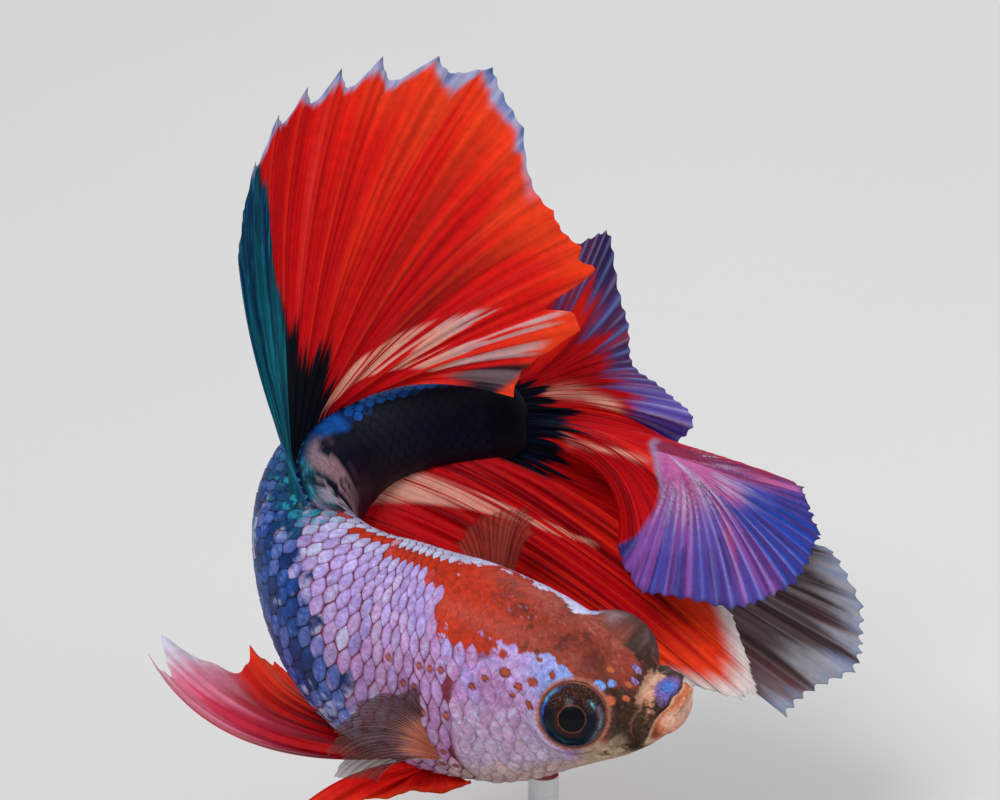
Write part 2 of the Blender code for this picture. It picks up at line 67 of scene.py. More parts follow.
# Each fin: rays (share along the root, then the ray's middle and its tip in millimetres from its
# root), the line that the root follows, and the number of rays
FINS = {
    "dorsal_fin": ((
        (0.00, -3.5, 4.0, 8.5, -5.0, 4.5, 17.0),
        (0.12, -3.0, 4.0, 12.0, -3.5, 4.0, 22.5),
        (0.28, -1.0, 4.0, 15.5, 0.5, 4.0, 27.5),
        (0.46, 2.5, 3.0, 16.0, 6.5, 3.5, 29.0),
        (0.62, 6.0, 2.5, 14.0, 14.0, 3.5, 27.0),
        (0.76, 8.0, 1.0, 9.5, 17.0, 1.0, 16.5),
        (0.87, 9.0, -0.5, 6.0, 20.0, 0.0, 11.0),
        (0.94, 7.5, -1.0, 3.5, 16.5, -1.0, 5.0),
        (1.00, 5.0, -1.0, 2.0, 12.0, -2.0, 1.2),
    ), ("ridge", 0.575, 0.80, 0.0), 14),
    "tail_fin": ((
        (0.00, 2.0, 3.5, 2.5, 4.0, 8.5, 7.5),
        (0.07, 4.0, 4.0, 2.0, 8.5, 11.0, 9.0),
        (0.12, 5.2, 4.2, 1.2, 9.6, 9.2, 3.6),
        (0.17, 6.0, 4.0, 0.5, 10.2, 7.5, 0.0),
        (0.26, 7.0, 3.5, -1.0, 14.4, 6.2, -3.6),
        (0.32, 8.5, 4.5, -2.5, 12.0, 11.5, -8.5),
        (0.40, 10.0, 1.5, -2.5, 22.2, 0.5, -6.2),
        (0.48, 10.5, -1.5, -2.0, 23.2, -5.0, -8.0),
        (0.58, 9.5, -4.5, -1.0, 18.0, -9.5, -11.0),
        (0.67, 8.0, -5.0, -1.0, 9.5, -10.0, -9.0),
        (0.73, 7.0, -3.5, -1.5, 8.0, -6.5, -7.0),
        (0.82, 11.0, 0.5, -4.5, 25.0, 2.0, -9.5),
        (0.90, 11.0, 0.0, -6.5, 28.0, -0.5, -16.0),
        (1.00, 6.8, -0.5, -7.8, 21.7, -4.5, -19.5),
    ), ("stem",), 16),
    "anal_fin": ((
        (0.00, 0.5, 1.5, -3.0, 1.0, 3.5, -5.5),
        (0.15, 4.5, 1.5, -6.0, 11.0, 2.0, -11.0),
        (0.35, 9.0, -0.5, -5.5, 19.5, -3.0, -13.5),
        (0.55, 11.5, -2.5, -4.5, 24.5, -5.5, -13.0),
        (0.75, 11.5, -4.5, -4.5, 25.6, -8.5, -15.3),
        (0.90, 9.5, -4.0, -4.5, 22.6, -7.8, -14.6),
        (1.00, 8.0, -3.0, -2.9, 18.5, -5.5, -10.8),
    ), ("ridge", 0.52, 0.97, 180.0), 16),
    "pelvic_fin_left": ((
        (0.00, -14.5, -0.5, 0.0, -23.5, 5.5, 5.0),
        (0.20, -13.0, 1.0, 0.5, -23.0, 7.5, 5.5),
        (0.42, -10.5, 2.5, 1.0, -16.0, 9.0, 3.5),
        (0.62, -8.5, 3.5, 1.0, -14.0, 10.0, 3.5),
        (0.80, -7.0, 4.0, 0.0, -11.5, 8.5, 1.0),
        (1.00, -4.0, 3.5, -0.5, -8.0, 8.0, -0.5),
    ), ("ridge", 0.33, 0.365, 170.0), 5),
    "pelvic_fin_right": ((
        (0.00, -7.5, -4.5, 1.0, -13.5, -7.5, -3.5),
        (0.30, -5.0, -4.0, 0.0, -9.0, -5.5, -2.5),
        (0.60, -2.5, -3.5, -0.5, -4.0, -4.0, -1.0),
        (0.85, 1.0, -3.0, -0.5, 0.5, -2.5, -1.5),
        (1.00, 3.0, -2.5, -0.5, 3.5, -2.0, -1.5),
    ), ("ridge", 0.33, 0.365, -170.0), 5),
    "pectoral_fin_right": ((
        (0.00, -0.5, -0.5, 2.5, -1.5, -1.5, 5.0),
        (0.30, -3.0, -2.0, 4.0, -5.5, -4.0, 5.0),
        (0.60, -4.5, -3.5, 3.5, -8.0, -5.5, 2.5),
        (0.85, -4.5, -3.5, 2.0, -7.5, -4.5, 0.0),
        (1.00, -3.0, -2.5, 1.0, -4.5, -3.0, -0.5),
    ), ("flank", 0.315, -106.0, -124.0), 7),
    "pectoral_fin_left": ((
        (0.00, -1.5, 3.0, 4.5, -3.0, 5.5, 6.5),
        (0.35, -0.5, 4.0, 6.5, -1.0, 7.0, 9.0),
        (0.70, 1.0, 4.0, 8.5, 2.5, 7.0, 10.0),
        (1.00, 1.5, 3.0, 8.0, 3.0, 5.0, 9.5),
    ), ("flank", 0.315, 106.0, 124.0), 7),
}


def smooth(t):
    """0 below 0, 1 above 1, and an even swing between."""
    t = np.clip(t, 0, 1)
    return t * t * (3 - 2 * t)


def ramp(x, edge, width):
    """0 up to an edge and 1 beyond the width after it, or the other way for a width below 0."""
    return smooth((x - edge) / width)


def bell(x, middle, width):
    """1 at the middle, falling off on both sides."""
    return np.exp(-(((x - middle) / width) ** 2))


def through_stations(x, xs, ys):
    """A smooth curve through stations, with no overshoot between them."""
    x = np.clip(np.asarray(x, float), xs[0], xs[-1])
    step = np.diff(xs)
    slope = np.diff(ys) / step
    joined = slope[1:] * slope[:-1] > 0
    total = np.where(joined, slope[1:] + slope[:-1], 1)
    tangent = np.concatenate([
        slope[:1], np.where(joined, 2 * slope[1:] * slope[:-1] / total, 0), slope[-1:]
    ])
    i = np.clip(np.searchsorted(xs, x) - 1, 0, len(xs) - 2)
    t = (x - xs[i]) / step[i]
    rise = smooth(t)
    return (
        ys[i] * (1 - rise)
        + ys[i + 1] * rise
        + step[i] * (tangent[i] * t * (1 - t) ** 2 - tangent[i + 1] * t * t * (1 - t))
    )


def head_axes():
    """Forward, left and up of the head."""
    heading, nose_up, bank = (math.radians(a) for a in (HEADING, NOSE_UP, BANK))
    forward = np.array([
        math.cos(heading) * math.cos(nose_up),
        math.sin(heading) * math.cos(nose_up),
        math.sin(nose_up),
    ])
    level_left = np.cross([0, 0, 1.0], forward)
    level_left /= np.linalg.norm(level_left)
    level_up = np.cross(forward, level_left)
    left = level_left * math.cos(bank) + level_up * math.sin(bank)
    up = level_up * math.cos(bank) - level_left * math.sin(bank)
    return forward, left, up


FORWARD, LEFT, UP = head_axes()


def bent_axes(turn, rise):
    """Tailward, left and up where the spine has turned and risen by these angles."""
    cos_turn, sin_turn = np.cos(turn)[..., None], np.sin(turn)[..., None]
    cos_rise, sin_rise = np.cos(rise)[..., None], np.sin(rise)[..., None]
    flat = sin_turn * LEFT - cos_turn * FORWARD
    left = cos_turn * LEFT + sin_turn * FORWARD
    return flat * cos_rise + UP * sin_rise, left, UP * cos_rise - flat * sin_rise


def make_spine():
    """Stations, and the place, turn and rise of the spine at each."""
    s = np.linspace(0, 1, SPINE_STEPS + 1)
    easing = 1 - (1 - BEND_LEFT) * ramp(s, BEND_EASE, 1 - BEND_EASE)
    bend = ramp(s, BEND_FROM, BEND_FULL - BEND_FROM) * easing
    turn = np.concatenate([[0], np.cumsum((bend[1:] + bend[:-1]) / 2)])
    turn *= math.radians(BODY_TURN) / turn[-1]
    drop = 1 - RISE_DROP * ramp(s, RISE_EASE, RISE_GONE - RISE_EASE)
    rise = math.radians(TAIL_RISE) * ramp(s, RISE_FROM, RISE_FULL - RISE_FROM) * drop
    tailward = bent_axes(turn, rise)[0]
    path = np.cumsum((tailward[1:] + tailward[:-1]) / 2, axis=0) * BODY_LENGTH / SPINE_STEPS
    return s, SNOUT + np.vstack([np.zeros(3), path]), turn, rise


SPINE_S, SPINE, SPINE_TURN, SPINE_RISE = make_spine()


def spine_at(s):
    """Place, tailward, left and up at stations of the spine, which runs on straight past 1."""
    s = np.asarray(s, float)
    place = np.stack([np.interp(s, SPINE_S, SPINE[:, k]) for k in range(3)], -1)
    turn, rise = np.interp(s, SPINE_S, SPINE_TURN), np.interp(s, SPINE_S, SPINE_RISE)
    tailward, left, up = bent_axes(turn, rise)
    place = place + np.maximum(s - 1, 0)[..., None] * BODY_LENGTH * tailward
    return place, tailward, left, up


def section_at(s):
    """Half width, back height and belly depth at stations."""
    return [through_stations(s, SECTIONS[:, 0], SECTIONS[:, k]) * BODY_LENGTH for k in (1, 2, 3)]


def skin_point(s, degrees, outward=0.0):
    """Points on the solids' surface, or this far outside: angle 0 is the back, 90 the left flank."""
    s, degrees = np.broadcast_arrays(np.asarray(s, float), np.asarray(degrees, float))
    width, back, belly = section_at(s)
    place, _, left, up = spine_at(s)
    cos, sin = np.cos(np.radians(degrees)), np.sin(np.radians(degrees))
    cos = np.sign(cos) * np.abs(cos) ** ROUNDNESS
    sin = np.sign(sin) * np.abs(sin) ** ROUNDNESS
    middle, half = (back - belly) / 2, (back + belly) / 2
    rise = middle + (half + outward) * cos
    return place + rise[..., None] * up + ((width + outward) * sin)[..., None] * left


def fin_root(where, share):
    """Points along the line that a fin grows from."""
    kind, *line = where
    if kind == "ridge":
        first, last, degrees = line
        return skin_point(first + (last - first) * share, degrees, -0.5 * MM)
    if kind == "flank":
        station, first, last = line
        return skin_point(station, first + (last - first) * share, -0.4 * MM)
    place, tailward, _, up = spine_at(1 + 0 * share)
    _, back, belly = (side[()] for side in section_at(1.0))
    height = (back * (1 - share) - belly * share) * 0.92
    bulge = 0.9 * MM * np.sin(math.pi * share) - 0.6 * MM
    return place + up * height[..., None] + tailward * bulge[..., None]


def fin_point(rays, where, share, along):
    """Points of a fin: share across its rays, and along from root to margin."""
    share, along = np.broadcast_arrays(np.asarray(share, float), np.asarray(along, float))
    rays = np.array(rays)
    middle, tip = (
        np.stack([through_stations(share, rays[:, 0], rays[:, k]) for k in columns], -1) * MM
        for columns in ((1, 2, 3), (4, 5, 6))
    )
    pull = 2 * middle - tip / 2
    t = along[..., None]
    return fin_root(where, share) + 2 * t * (1 - t) * pull + t * t * tip


# ------------------------------------------------------------------- noise, paint and mesh tools


def lattice_noise(points, seed=SEED):
    """Smooth value noise from 0 to 1, at points given in cells of the noise."""
    cell = np.floor(points).astype(np.int64)
    t = smooth(points - cell)
    total = np.zeros(points.shape[:-1])
    for corner in np.ndindex(*(2,) * points.shape[-1]):
        index = cell + np.array(corner)
        mixed = np.full(total.shape, seed * 374761393, np.int64)
        for k, prime in zip(range(points.shape[-1]), (668265263, 2147483647, 1274126177)):
            mixed = mixed + index[..., k] * prime
        mixed = (mixed ^ (mixed >> 13)) * 1103515245
        value = ((mixed ^ (mixed >> 16)) & 0xFFFF) / 0xFFFF
        total += value * np.prod(np.where(np.array(corner), t, 1 - t), axis=-1)
    return total


TURN = np.array([[0.36, 0.48, -0.80], [-0.80, 0.60, 0.00], [0.48, 0.64, 0.60]])


def mottle(points, cell, seed=SEED):
    """Noise from about -0.5 to 0.5 whose largest blots have this size: octaves, each turned."""
    place, total = points / cell, 0.0
    turn = TURN if points.shape[-1] == 3 else np.array([[0.8, 0.6], [-0.6, 0.8]])
    for k, (finer, weight) in enumerate(((1.0, 0.55), (1.7, 0.35), (2.1, 0.2), (2.1, 0.12))):
        place = finer * place @ turn
        total = total + weight * (lattice_noise(place, seed + k) - 0.5)
    return total


def lay(paint, *coats):
    """Lays tints over a paint one after another, each where its share is 1."""
    for share, tint in coats:
        paint = paint + (np.asarray(tint) - paint) * np.clip(share, 0, 1)[..., None]
    return paint


def drawn_noise(x, y, seed):
    """Noise from -0.5 to 0.5 on two coordinates given in cells."""
    return lattice_noise(np.stack([x, y], -1), seed) - 0.5


def grid_faces(rows, columns, wrap=False):
    """Faces of a grid of points, counted row by row."""
    i, k = np.meshgrid(np.arange(rows - 1), np.arange(columns if wrap else columns - 1), indexing="ij")
    after = (k + 1) % columns
    near, far = i * columns, (i + 1) * columns
    return np.stack([near + k, near + after, far + after, far + k], -1).reshape(-1, 4)


def tube_faces(rows, around):
    """Faces of a grid that closes on itself along its rows, with a cap at each end."""
    last = (rows - 1) * around
    caps = [list(range(around))[::-1], list(range(last, last + around))]
    return grid_faces(rows, around, wrap=True).tolist() + caps


def grid_normals(points):
    """Unit normals of a grid of points that closes on itself along its rows."""
    wrapped = np.concatenate([points[:, -1:], points, points[:, :1]], axis=1)
    normal = np.cross(np.gradient(points, axis=0), wrapped[:, 2:] - wrapped[:, :-2])
    return normal / (np.linalg.norm(normal, axis=-1, keepdims=True) + 1e-15)


def make_piece(name, points, faces, material, paint=None, numbers=(), uv=None):
    """A smooth-shaded mesh piece that rides on the one body.

    paint holds a colour for each point, uv a pair, and numbers maps a name to a value for each."""
    mesh = bpy.data.meshes.new(name)
    mesh.from_pydata(np.asarray(points).reshape(-1, 3).tolist(), [], faces)
    for key, values in dict(numbers).items():
        layer = mesh.attributes.new(key, "FLOAT", "POINT")
        layer.data.foreach_set("value", np.asarray(values, np.float32).ravel())
    if paint is not None:
        rgba = np.ones((len(mesh.vertices), 4), np.float32)
        rgba[:, :3] = np.clip(np.asarray(paint).reshape(-1, 3), 0, 1)
        layer = mesh.attributes.new("paint", "FLOAT_COLOR", "POINT")
        layer.data.foreach_set("color", rgba.ravel())
    if uv is not None:
        layer = mesh.uv_layers.new(name="OFBake")
        corners = np.empty(len(mesh.loops), np.int32)
        mesh.loops.foreach_get("vertex_index", corners)
        layer.data.foreach_set("uv", np.asarray(uv, np.float32).reshape(-1, 2)[corners].ravel())
    mesh.shade_smooth()
    mesh.materials.append(material)
    obj = bpy.data.objects.new(name, mesh)
    bpy.context.scene.collection.objects.link(obj)
    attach(obj, "root")
    return obj


# -------------------------------------------------------------------------------- material tools


class Shader:
    """A material's node tree, with a short call for each kind of node used here."""

    SOCKETS = {
        "colour": "Base Color", "roughness": "Roughness", "metallic": "Metallic", "coat": "Coat Weight",
        "coat_roughness": "Coat Roughness", "specular": "Specular IOR Level", "alpha": "Alpha",
    }

    def __init__(self, name):
        self.material = bpy.data.materials.new(name)
        self.material.use_nodes = True
        self.tree = self.material.node_tree
        self.principled = self.tree.nodes["Principled BSDF"]

    def put(self, socket, value):
        """Links a node's output to a socket, or sets the socket to a plain value."""
        if isinstance(value, bpy.types.NodeSocket):
            self.tree.links.new(value, socket)
        elif socket.type == "RGBA":
            socket.default_value = (*value, 1)
        else:
            socket.default_value = value

    def node(self, kind, inputs, output=0, **settings):
        """An output of a new node with these settings, whose inputs go by number or name."""
        made = self.tree.nodes.new(f"ShaderNode{kind}")
        for key, value in settings.items():
            setattr(made, key, value)
        for key, value in inputs.items():
            self.put(made.inputs[key], value)
        return made.outputs[output]

    def attribute(self, name, output="Fac"):
        return self.node("Attribute", {}, output, attribute_name=name)

    def math(self, operation, a, b):
        return self.node("Math", {0: a, 1: b}, operation=operation)

    def add(self, a, b):
        return self.math("ADD", a, b)

    def times(self, a, b):
        return self.math("MULTIPLY", a, b)

    def step(self, value, low, high):
        """0 below low, 1 above high, smooth between."""
        return self.node("MapRange", {0: value, 1: low, 2: high}, interpolation_type="SMOOTHSTEP")

    def mix(self, share, a, b):
        return self.node("Mix", {0: share, 6: a, 7: b}, 2, data_type="RGBA")

    def shade(self, colour, factor):
        """The colour made lighter or darker by a factor."""
        return self.node("VectorMath", {0: colour, "Scale": factor}, operation="SCALE")

    def place(self, scale=(1, 1, 1)):
        """Object coordinates times a scale for each axis."""
        return self.node("Mapping", {"Vector": self.node("TexCoord", {}, "Object"), "Scale": scale})

    def noise(self, where, scale, detail=2.0, roughness=0.5):
        inputs = {"Vector": where, "Scale": scale, "Detail": detail, "Roughness": roughness}
        return self.node("TexNoise", inputs)

    def cells(self, where, scale):
        """Distance to the edges of random cells."""
        return self.node("TexVoronoi", {"Vector": where, "Scale": scale}, feature="DISTANCE_TO_EDGE")

    def bump(self, height, distance, strength):
        inputs = {"Height": height, "Distance": distance, "Strength": strength}
        self.put(self.principled.inputs["Normal"], self.node("Bump", inputs))

    def surface(self, **inputs):
        for key, value in inputs.items():
            self.put(self.principled.inputs[self.SOCKETS[key]], value)
        return self.material


# ------------------------------------------------------------------------------ body's markings

BRICK, BRICK_DARK, BRICK_PALE = (0.29, 0.045, 0.027), (0.13, 0.026, 0.018), (0.45, 0.14, 0.10)
SADDLE = (0.50, 0.034, 0.012)
LILAC, LILAC_PINK, LILAC_BLUE = (0.42, 0.30, 0.68), (0.50, 0.22, 0.45), (0.20, 0.30, 0.72)
LILAC_DEEP = (0.16, 0.10, 0.34)
PALE = np.array([0.56, 0.60, 0.86])
CHEEK = (0.52, 0.34, 0.54)
NET_RED, NET_NAVY = (0.20, 0.030, 0.060), (0.004, 0.010, 0.055)
ROYAL, ROYAL_DEEP, ROYAL_LILAC = (0.010, 0.065, 0.30), (0.004, 0.018, 0.10), (0.12, 0.17, 0.50)
NAVY, SKY = (0.003, 0.004, 0.014), (0.004, 0.10, 0.45)
TEAL, TURQUOISE = (0.002, 0.060, 0.085), (0.02, 0.30, 0.42)
CREAM, CHEEK_CREAM, CHEEK_PALE = (0.62, 0.43, 0.29), (0.68, 0.48, 0.46), (0.66, 0.54, 0.64)
GREY_PINK = (0.32, 0.20, 0.24)
BROWN, BROWN_PALE = (0.040, 0.019, 0.012), (0.24, 0.11, 0.07)
ORANGE, ORANGE_PALE = (0.52, 0.13, 0.05), (0.66, 0.30, 0.19)
# The pale pink of a painted highlight on the lower jaw's end
JAW_HIGHLIGHT = (0.70, 0.40, 0.32)
LIP_DARK, LIP_VIOLET, LIP_BLUE = (0.045, 0.022, 0.035), (0.20, 0.09, 0.33), (0.04, 0.20, 0.66)
SPOT_BLUE = (0.08, 0.28, 0.78)
MOUTH_DARK = (0.030, 0.008, 0.006)

# Ends of the mouth's line, in millimetres behind and above the snout's end of the spine
MOUTH_TIP, MOUTH_CORNER = np.array([-1.5, 3.5]), np.array([2.3, -2.1])

# Spots on each side of the head: station, angle from the back, radius in millimetres
BLUE_SPOTS = ((0.0932, 45.0, 0.38), (0.0805, 39.5, 0.26))
ORANGE_SPOTS = (
    (0.0624, 52.5, 0.24), (0.0797, 57.0, 0.34), (0.0624, 33.0, 0.24), (0.0850, 26.0, 0.26),
    (0.106, 56.0, 0.28),
)
VIOLET_SPOTS = ((0.0602, 4.0, 0.34), (0.0571, 23.0, 0.28))
RED_DOTS = (
    (0.171, 62.0, 0.30), (0.176, 77.0, 0.26), (0.188, 67.0, 0.26), (0.205, 60.0, 0.34),
    (0.160, 88.0, 0.24), (0.196, 73.0, 0.18), (0.148, 52.0, 0.20), (0.165, 45.0, 0.18),
    (0.230, 66.0, 0.22), (0.246, 72.0, 0.22),
)
DOT_RED = (0.40, 0.075, 0.035)
NOSTRIL = (0.083, 45.0, 0.22)
# The snout's knob in millimetres, as in_head gives them, and its half sizes
KNOB, KNOB_SIZE = np.array([1.15, 0.75, -0.55]), np.array([0.62, 0.9, 0.85])


def in_head(points):
    """Millimetres tailward of, above and left of the snout's end of the spine."""
    offset = (points - SNOUT) / MM
    return -(offset @ FORWARD), offset @ UP, offset @ LEFT


def from_mouth(points, degrees):
    """Distance behind the mouth's line, and past its corner, in the head's side view."""
    x, y, _ = in_head(points)
    run = (MOUTH_CORNER - MOUTH_TIP) / np.linalg.norm(MOUTH_CORNER - MOUTH_TIP)
    dx, dy = x - MOUTH_CORNER[0], y - MOUTH_CORNER[1]
    low = np.abs(side_of(degrees))
    sway = np.interp(
        low, [0, 12, 32, 57, 70, 84, 105, 123], [0.05, 0.0, 0.22, 0.08, 0.30, 0.38, 0.17, 0.0]
    )
    return dy * run[0] - dx * run[1] - sway, dx * run[0] + dy * run[1]


def maxilla_depth(past):
    """How far the upper jaw's bone reaches behind the mouth's line."""
    return np.interp(
        past, [-3.2, -2.9, -2.6, -2.27, -1.7, -1.06, -0.04, 0.30, 0.45, 0.52],
        [1.4, 2.0, 1.95, 1.64, 1.25, 1.17, 0.82, 0.50, 0.10, -0.2],
    )


def side_of(degrees):
    """Angle from the back, from -180 to 180, below 0 on the right side."""
    return (np.asarray(degrees, float) + 180) % 360 - 180


def from_spot(s, low, spot):
    """Distance from a spot's middle, as a share of its radius."""
    station, angle, radius = spot
    width, back, belly = section_at(station)
    per_degree = math.radians(1) * (width + (back + belly) / 2) / 2
    return np.hypot((s - station) * BODY_LENGTH, (low - angle) * per_degree) / (radius * MM)


def red_saddle(s, side):
    """Degrees inside the red of the forehead and back, which ends between lilac flanks."""
    right_edge = np.interp(
        s, [0.10, 0.115, 0.125, 0.15, 0.20, 0.25, 0.29, 0.305, 0.34, 0.40, 0.50, 0.57],
        [-125, -62, -44, -42, -43, -52, -54, -22, -9, -5, 6, 22],
    )
    left_edge = np.interp(
        s, [0.10, 0.120, 0.130, 0.15, 0.17, 0.20, 0.215, 0.265, 0.29, 0.42, 0.50, 0.56],
        [90, 60, 26, 12, 16, 19, 28, 24, 11, 9, 18, 24],
    )
    return np.minimum(side - right_edge, left_edge - side)


def wrinkles(s, side):
    """Noise of the folds on the inner side of the bend."""
    return mottle(np.stack([s * 150, side / 22 + s * 30], -1), 1.0, SEED + 3)


def body_paint(s, degrees, points, luck=0.5):
    """The body's colours. luck, from 0 to 1, tints whole scales and is 0.5 on bare skin."""
    side = side_of(degrees)
    low, right = np.abs(side), side < 0
    place = points / MM
    blot, speck = mottle(place, 1.5), mottle(place, 0.30, SEED + 5)
    even = np.zeros(blot.shape + (3,))  # a plain ground for the paints

    # Forehead and back
    front = ramp(s, 0.23, -0.08)
    brow = bell(s, 0.105, 0.026) * bell(low, 30, 18) + bell(s, 0.085, 0.02) * bell(low, 52, 10)
    back_blots = ramp(0.7 * speck + blot, 0.10, 0.12) * ramp(s, 0.27, -0.04)
    flecks = ramp(mottle(place, 0.20, SEED + 4), 0.20, 0.05) * bell(s, 0.195, 0.035) * bell(side, -12, 16)
    paint = lay(
        even + BRICK,
        (ramp(s, 0.15, 0.12), SADDLE),
        (ramp(blot + 0.5 * speck, 0.04, 0.16) * front * 0.8, BRICK_DARK),
        (ramp(0.8 * speck - blot, 0.10, 0.2) * front * 0.5, BRICK_PALE),
        ((brow + 1.1 * speck + 0.8 * blot) * 0.9 * ramp(s, 0.16, -0.02), BRICK_DARK),
        (back_blots * ramp(s, 0.13, 0.03) * 0.55, BRICK_DARK),
        (flecks * 0.7, LILAC_PINK),
    )

    # Brown before the eyes and along the ridge of the snout
    lore = ramp(s - 0.03 * blot, 0.096, -0.012) * ramp(low + 30 * speck, 34, 12)
    ridge = ramp(s - 0.02 * blot, 0.100, -0.015) * ramp(side + 20 * speck, 6, 8) * ramp(side, 44, -10)
    ridge = np.maximum(ridge, 0.8 * ramp(s, 0.066, -0.01) * ramp(low, 30, -9))
    paint = lay(
        paint,
        (np.maximum(lore, ridge) * (1.05 + speck), BROWN),
        (lore * ramp(speck, 0.05, 0.2) * 0.35, BROWN_PALE),
    )

    # Lilac, in jagged patches on the head and by whole scales behind it
    jagged = np.where(s < 0.30, 30 * mottle(place, 0.95, SEED + 9) + 10 * speck, 0)
    starts = 0.108 + 0.024 * ramp(side, -40, 20)
    lilac = smooth((jagged - red_saddle(s, side)) / 2.5 + 0.5) * ramp(s + 0.02 * blot, starts, 0.006)
    cheek = ramp(s, 0.13, 0.03) * ramp(s, 0.30, -0.03) * ramp(low, 74, 16)
    ridges = ramp(mottle(place, 0.16, SEED + 15), 0.02, 0.12) * ramp(s, 0.20, -0.03)
    stripe = bell(side, 18, 18) * ramp(s, 0.11, 0.01) * ramp(s, 0.60, -0.06)
    hue = lay(
        even + LILAC,
        (smooth((low - 30) / 60 + luck - 0.5 + blot) * 0.85, LILAC_PINK),
        (ramp(luck, 0.70, 0.3) * 0.4 * ramp(s, 0.30, 0.05), PALE),
        (ramp(luck, 0.16, -0.1) * 0.3 * ramp(s, 0.30, 0.05), LILAC_DEEP),
        (ramp(speck + 0.5 * blot, 0.02, 0.2) * 0.35, PALE),
        (ramp(s - 0.05 * blot, 0.185, -0.04) * ramp(low, 76, -8), LILAC_BLUE),
        (cheek * 0.75, CHEEK),
        (cheek * ramp(speck, 0.04, 0.12) * 0.6, PALE),
        (cheek * ramp(blot, 0.02, 0.15) * ramp(low, 96, 20) * 0.7, CHEEK_CREAM),
        (cheek * ramp(low, 90, 25) * 0.45, CHEEK_PALE),
        (ridges * 0.5, PALE),
        (1.3 * stripe, PALE),
    )
    paint = lay(paint, (lilac, hue))

    # Pale belly, throat and the mottled skin below the eyes
    edge = 112 - 20 * ramp(s, 0.130, -0.02)
    belly = ramp(low + 26 * blot, edge, 22) * ramp(s, 0.345, -0.05) * ramp(s, 0.06, 0.02)
    below_eye = ramp(s, 0.165, -0.03) * bell(low, 122, 17)
    paint = lay(
        paint,
        (belly, lay(even + CHEEK_CREAM, (ramp(s, 0.17, -0.05), CREAM))),
        (below_eye * ramp(blot + 0.7 * speck, -0.02, 0.28) * 0.85, BROWN),
    )

    # Royal blue, from the flank round the bend, with pale scales where it begins
    on_right = np.interp(low, [0, 15, 30, 60, 75, 95, 130], [0.575, 0.55, 0.525, 0.475, 0.45, 0.405, 0.37])
    past = s - np.where(right, on_right, 0.60) + 0.05 * blot + 0.02 * (luck - 0.5)
    pale = 0.32 - luck + 1.2 * speck + 0.5 * bell(past, 0, 0.035)
    patches = ramp(mottle(place, 2.6, SEED + 14), 0.08, 0.10) * ramp(s, 0.66, -0.06)
    deep = lay(
        even + ROYAL,
        (ramp(1.5 * blot + luck, 0.40, 0.5) * 0.8, ROYAL_DEEP),
        (smooth(pale / 0.3) * 0.75, ROYAL_LILAC),
        (patches * (0.35 + 0.5 * luck + speck), PALE),
    )
    paint = lay(
        paint,
        (bell(past, -0.005, 0.02) * ramp(luck, 0.40, 0.2) * lilac * 0.7, PALE),
        (smooth(past / 0.02), deep),
    )

    # The bend's ridge, its wrinkled inner side, and the dark tail stem with its bright blue back, partly
    # the stem's own blue and partly a painted highlight along its top
    inner = ramp(side, 8, 14) * ramp(s, 0.555, 0.02)
    pale_folds = ramp(s - 0.05 * blot, 0.745, -0.05) * ramp(wrinkles(s, side), -0.06, 0.12)
    folds = lay(even + GREY_PINK, (ramp(s, 0.66, -0.04), PALE * np.array([0.8, 0.7, 0.65])))
    teal = bell(s, 0.62, 0.075) * bell(side, 4, 21) * ramp(s, 0.53, 0.02)
    stem = ramp(s + 0.04 * blot, 0.70, 0.05)
    crest = np.interp(s, [0.70, 0.76, 0.86, 1.0], [25, 52, 34, 12])
    return lay(
        paint,
        (inner, NAVY),
        (inner * pale_folds * ramp(side, 105, -40), folds),
        (1.6 * teal * (0.7 + speck), TEAL),
        (1.4 * teal * ramp(speck + 0.6 * luck, 0.35, 0.12), TURQUOISE),
        (stem, NAVY),
        # Sky blue along the stem's top: partly its own blue, partly a painted highlight
        (ramp(crest + 10 * blot, np.abs(side + 6), 9) * stem * (0.75 + 0.9 * speck), SKY),
    )


def head_speck(points):
    """The fine noise that roughens every mark on the head."""
    return mottle(points / MM, 0.22, SEED + 6)


def red_dots(paint, s, low, speck):
    """Adds the red dots of the cheeks, which skin and scales share."""
    for spot in RED_DOTS:
        far = from_spot(s, low, spot) + 0.5 * speck
        paint = lay(paint, (ramp(far, 1.25, -0.2), BRICK_DARK), (ramp(far, 0.95, -0.25), DOT_RED))
    return paint


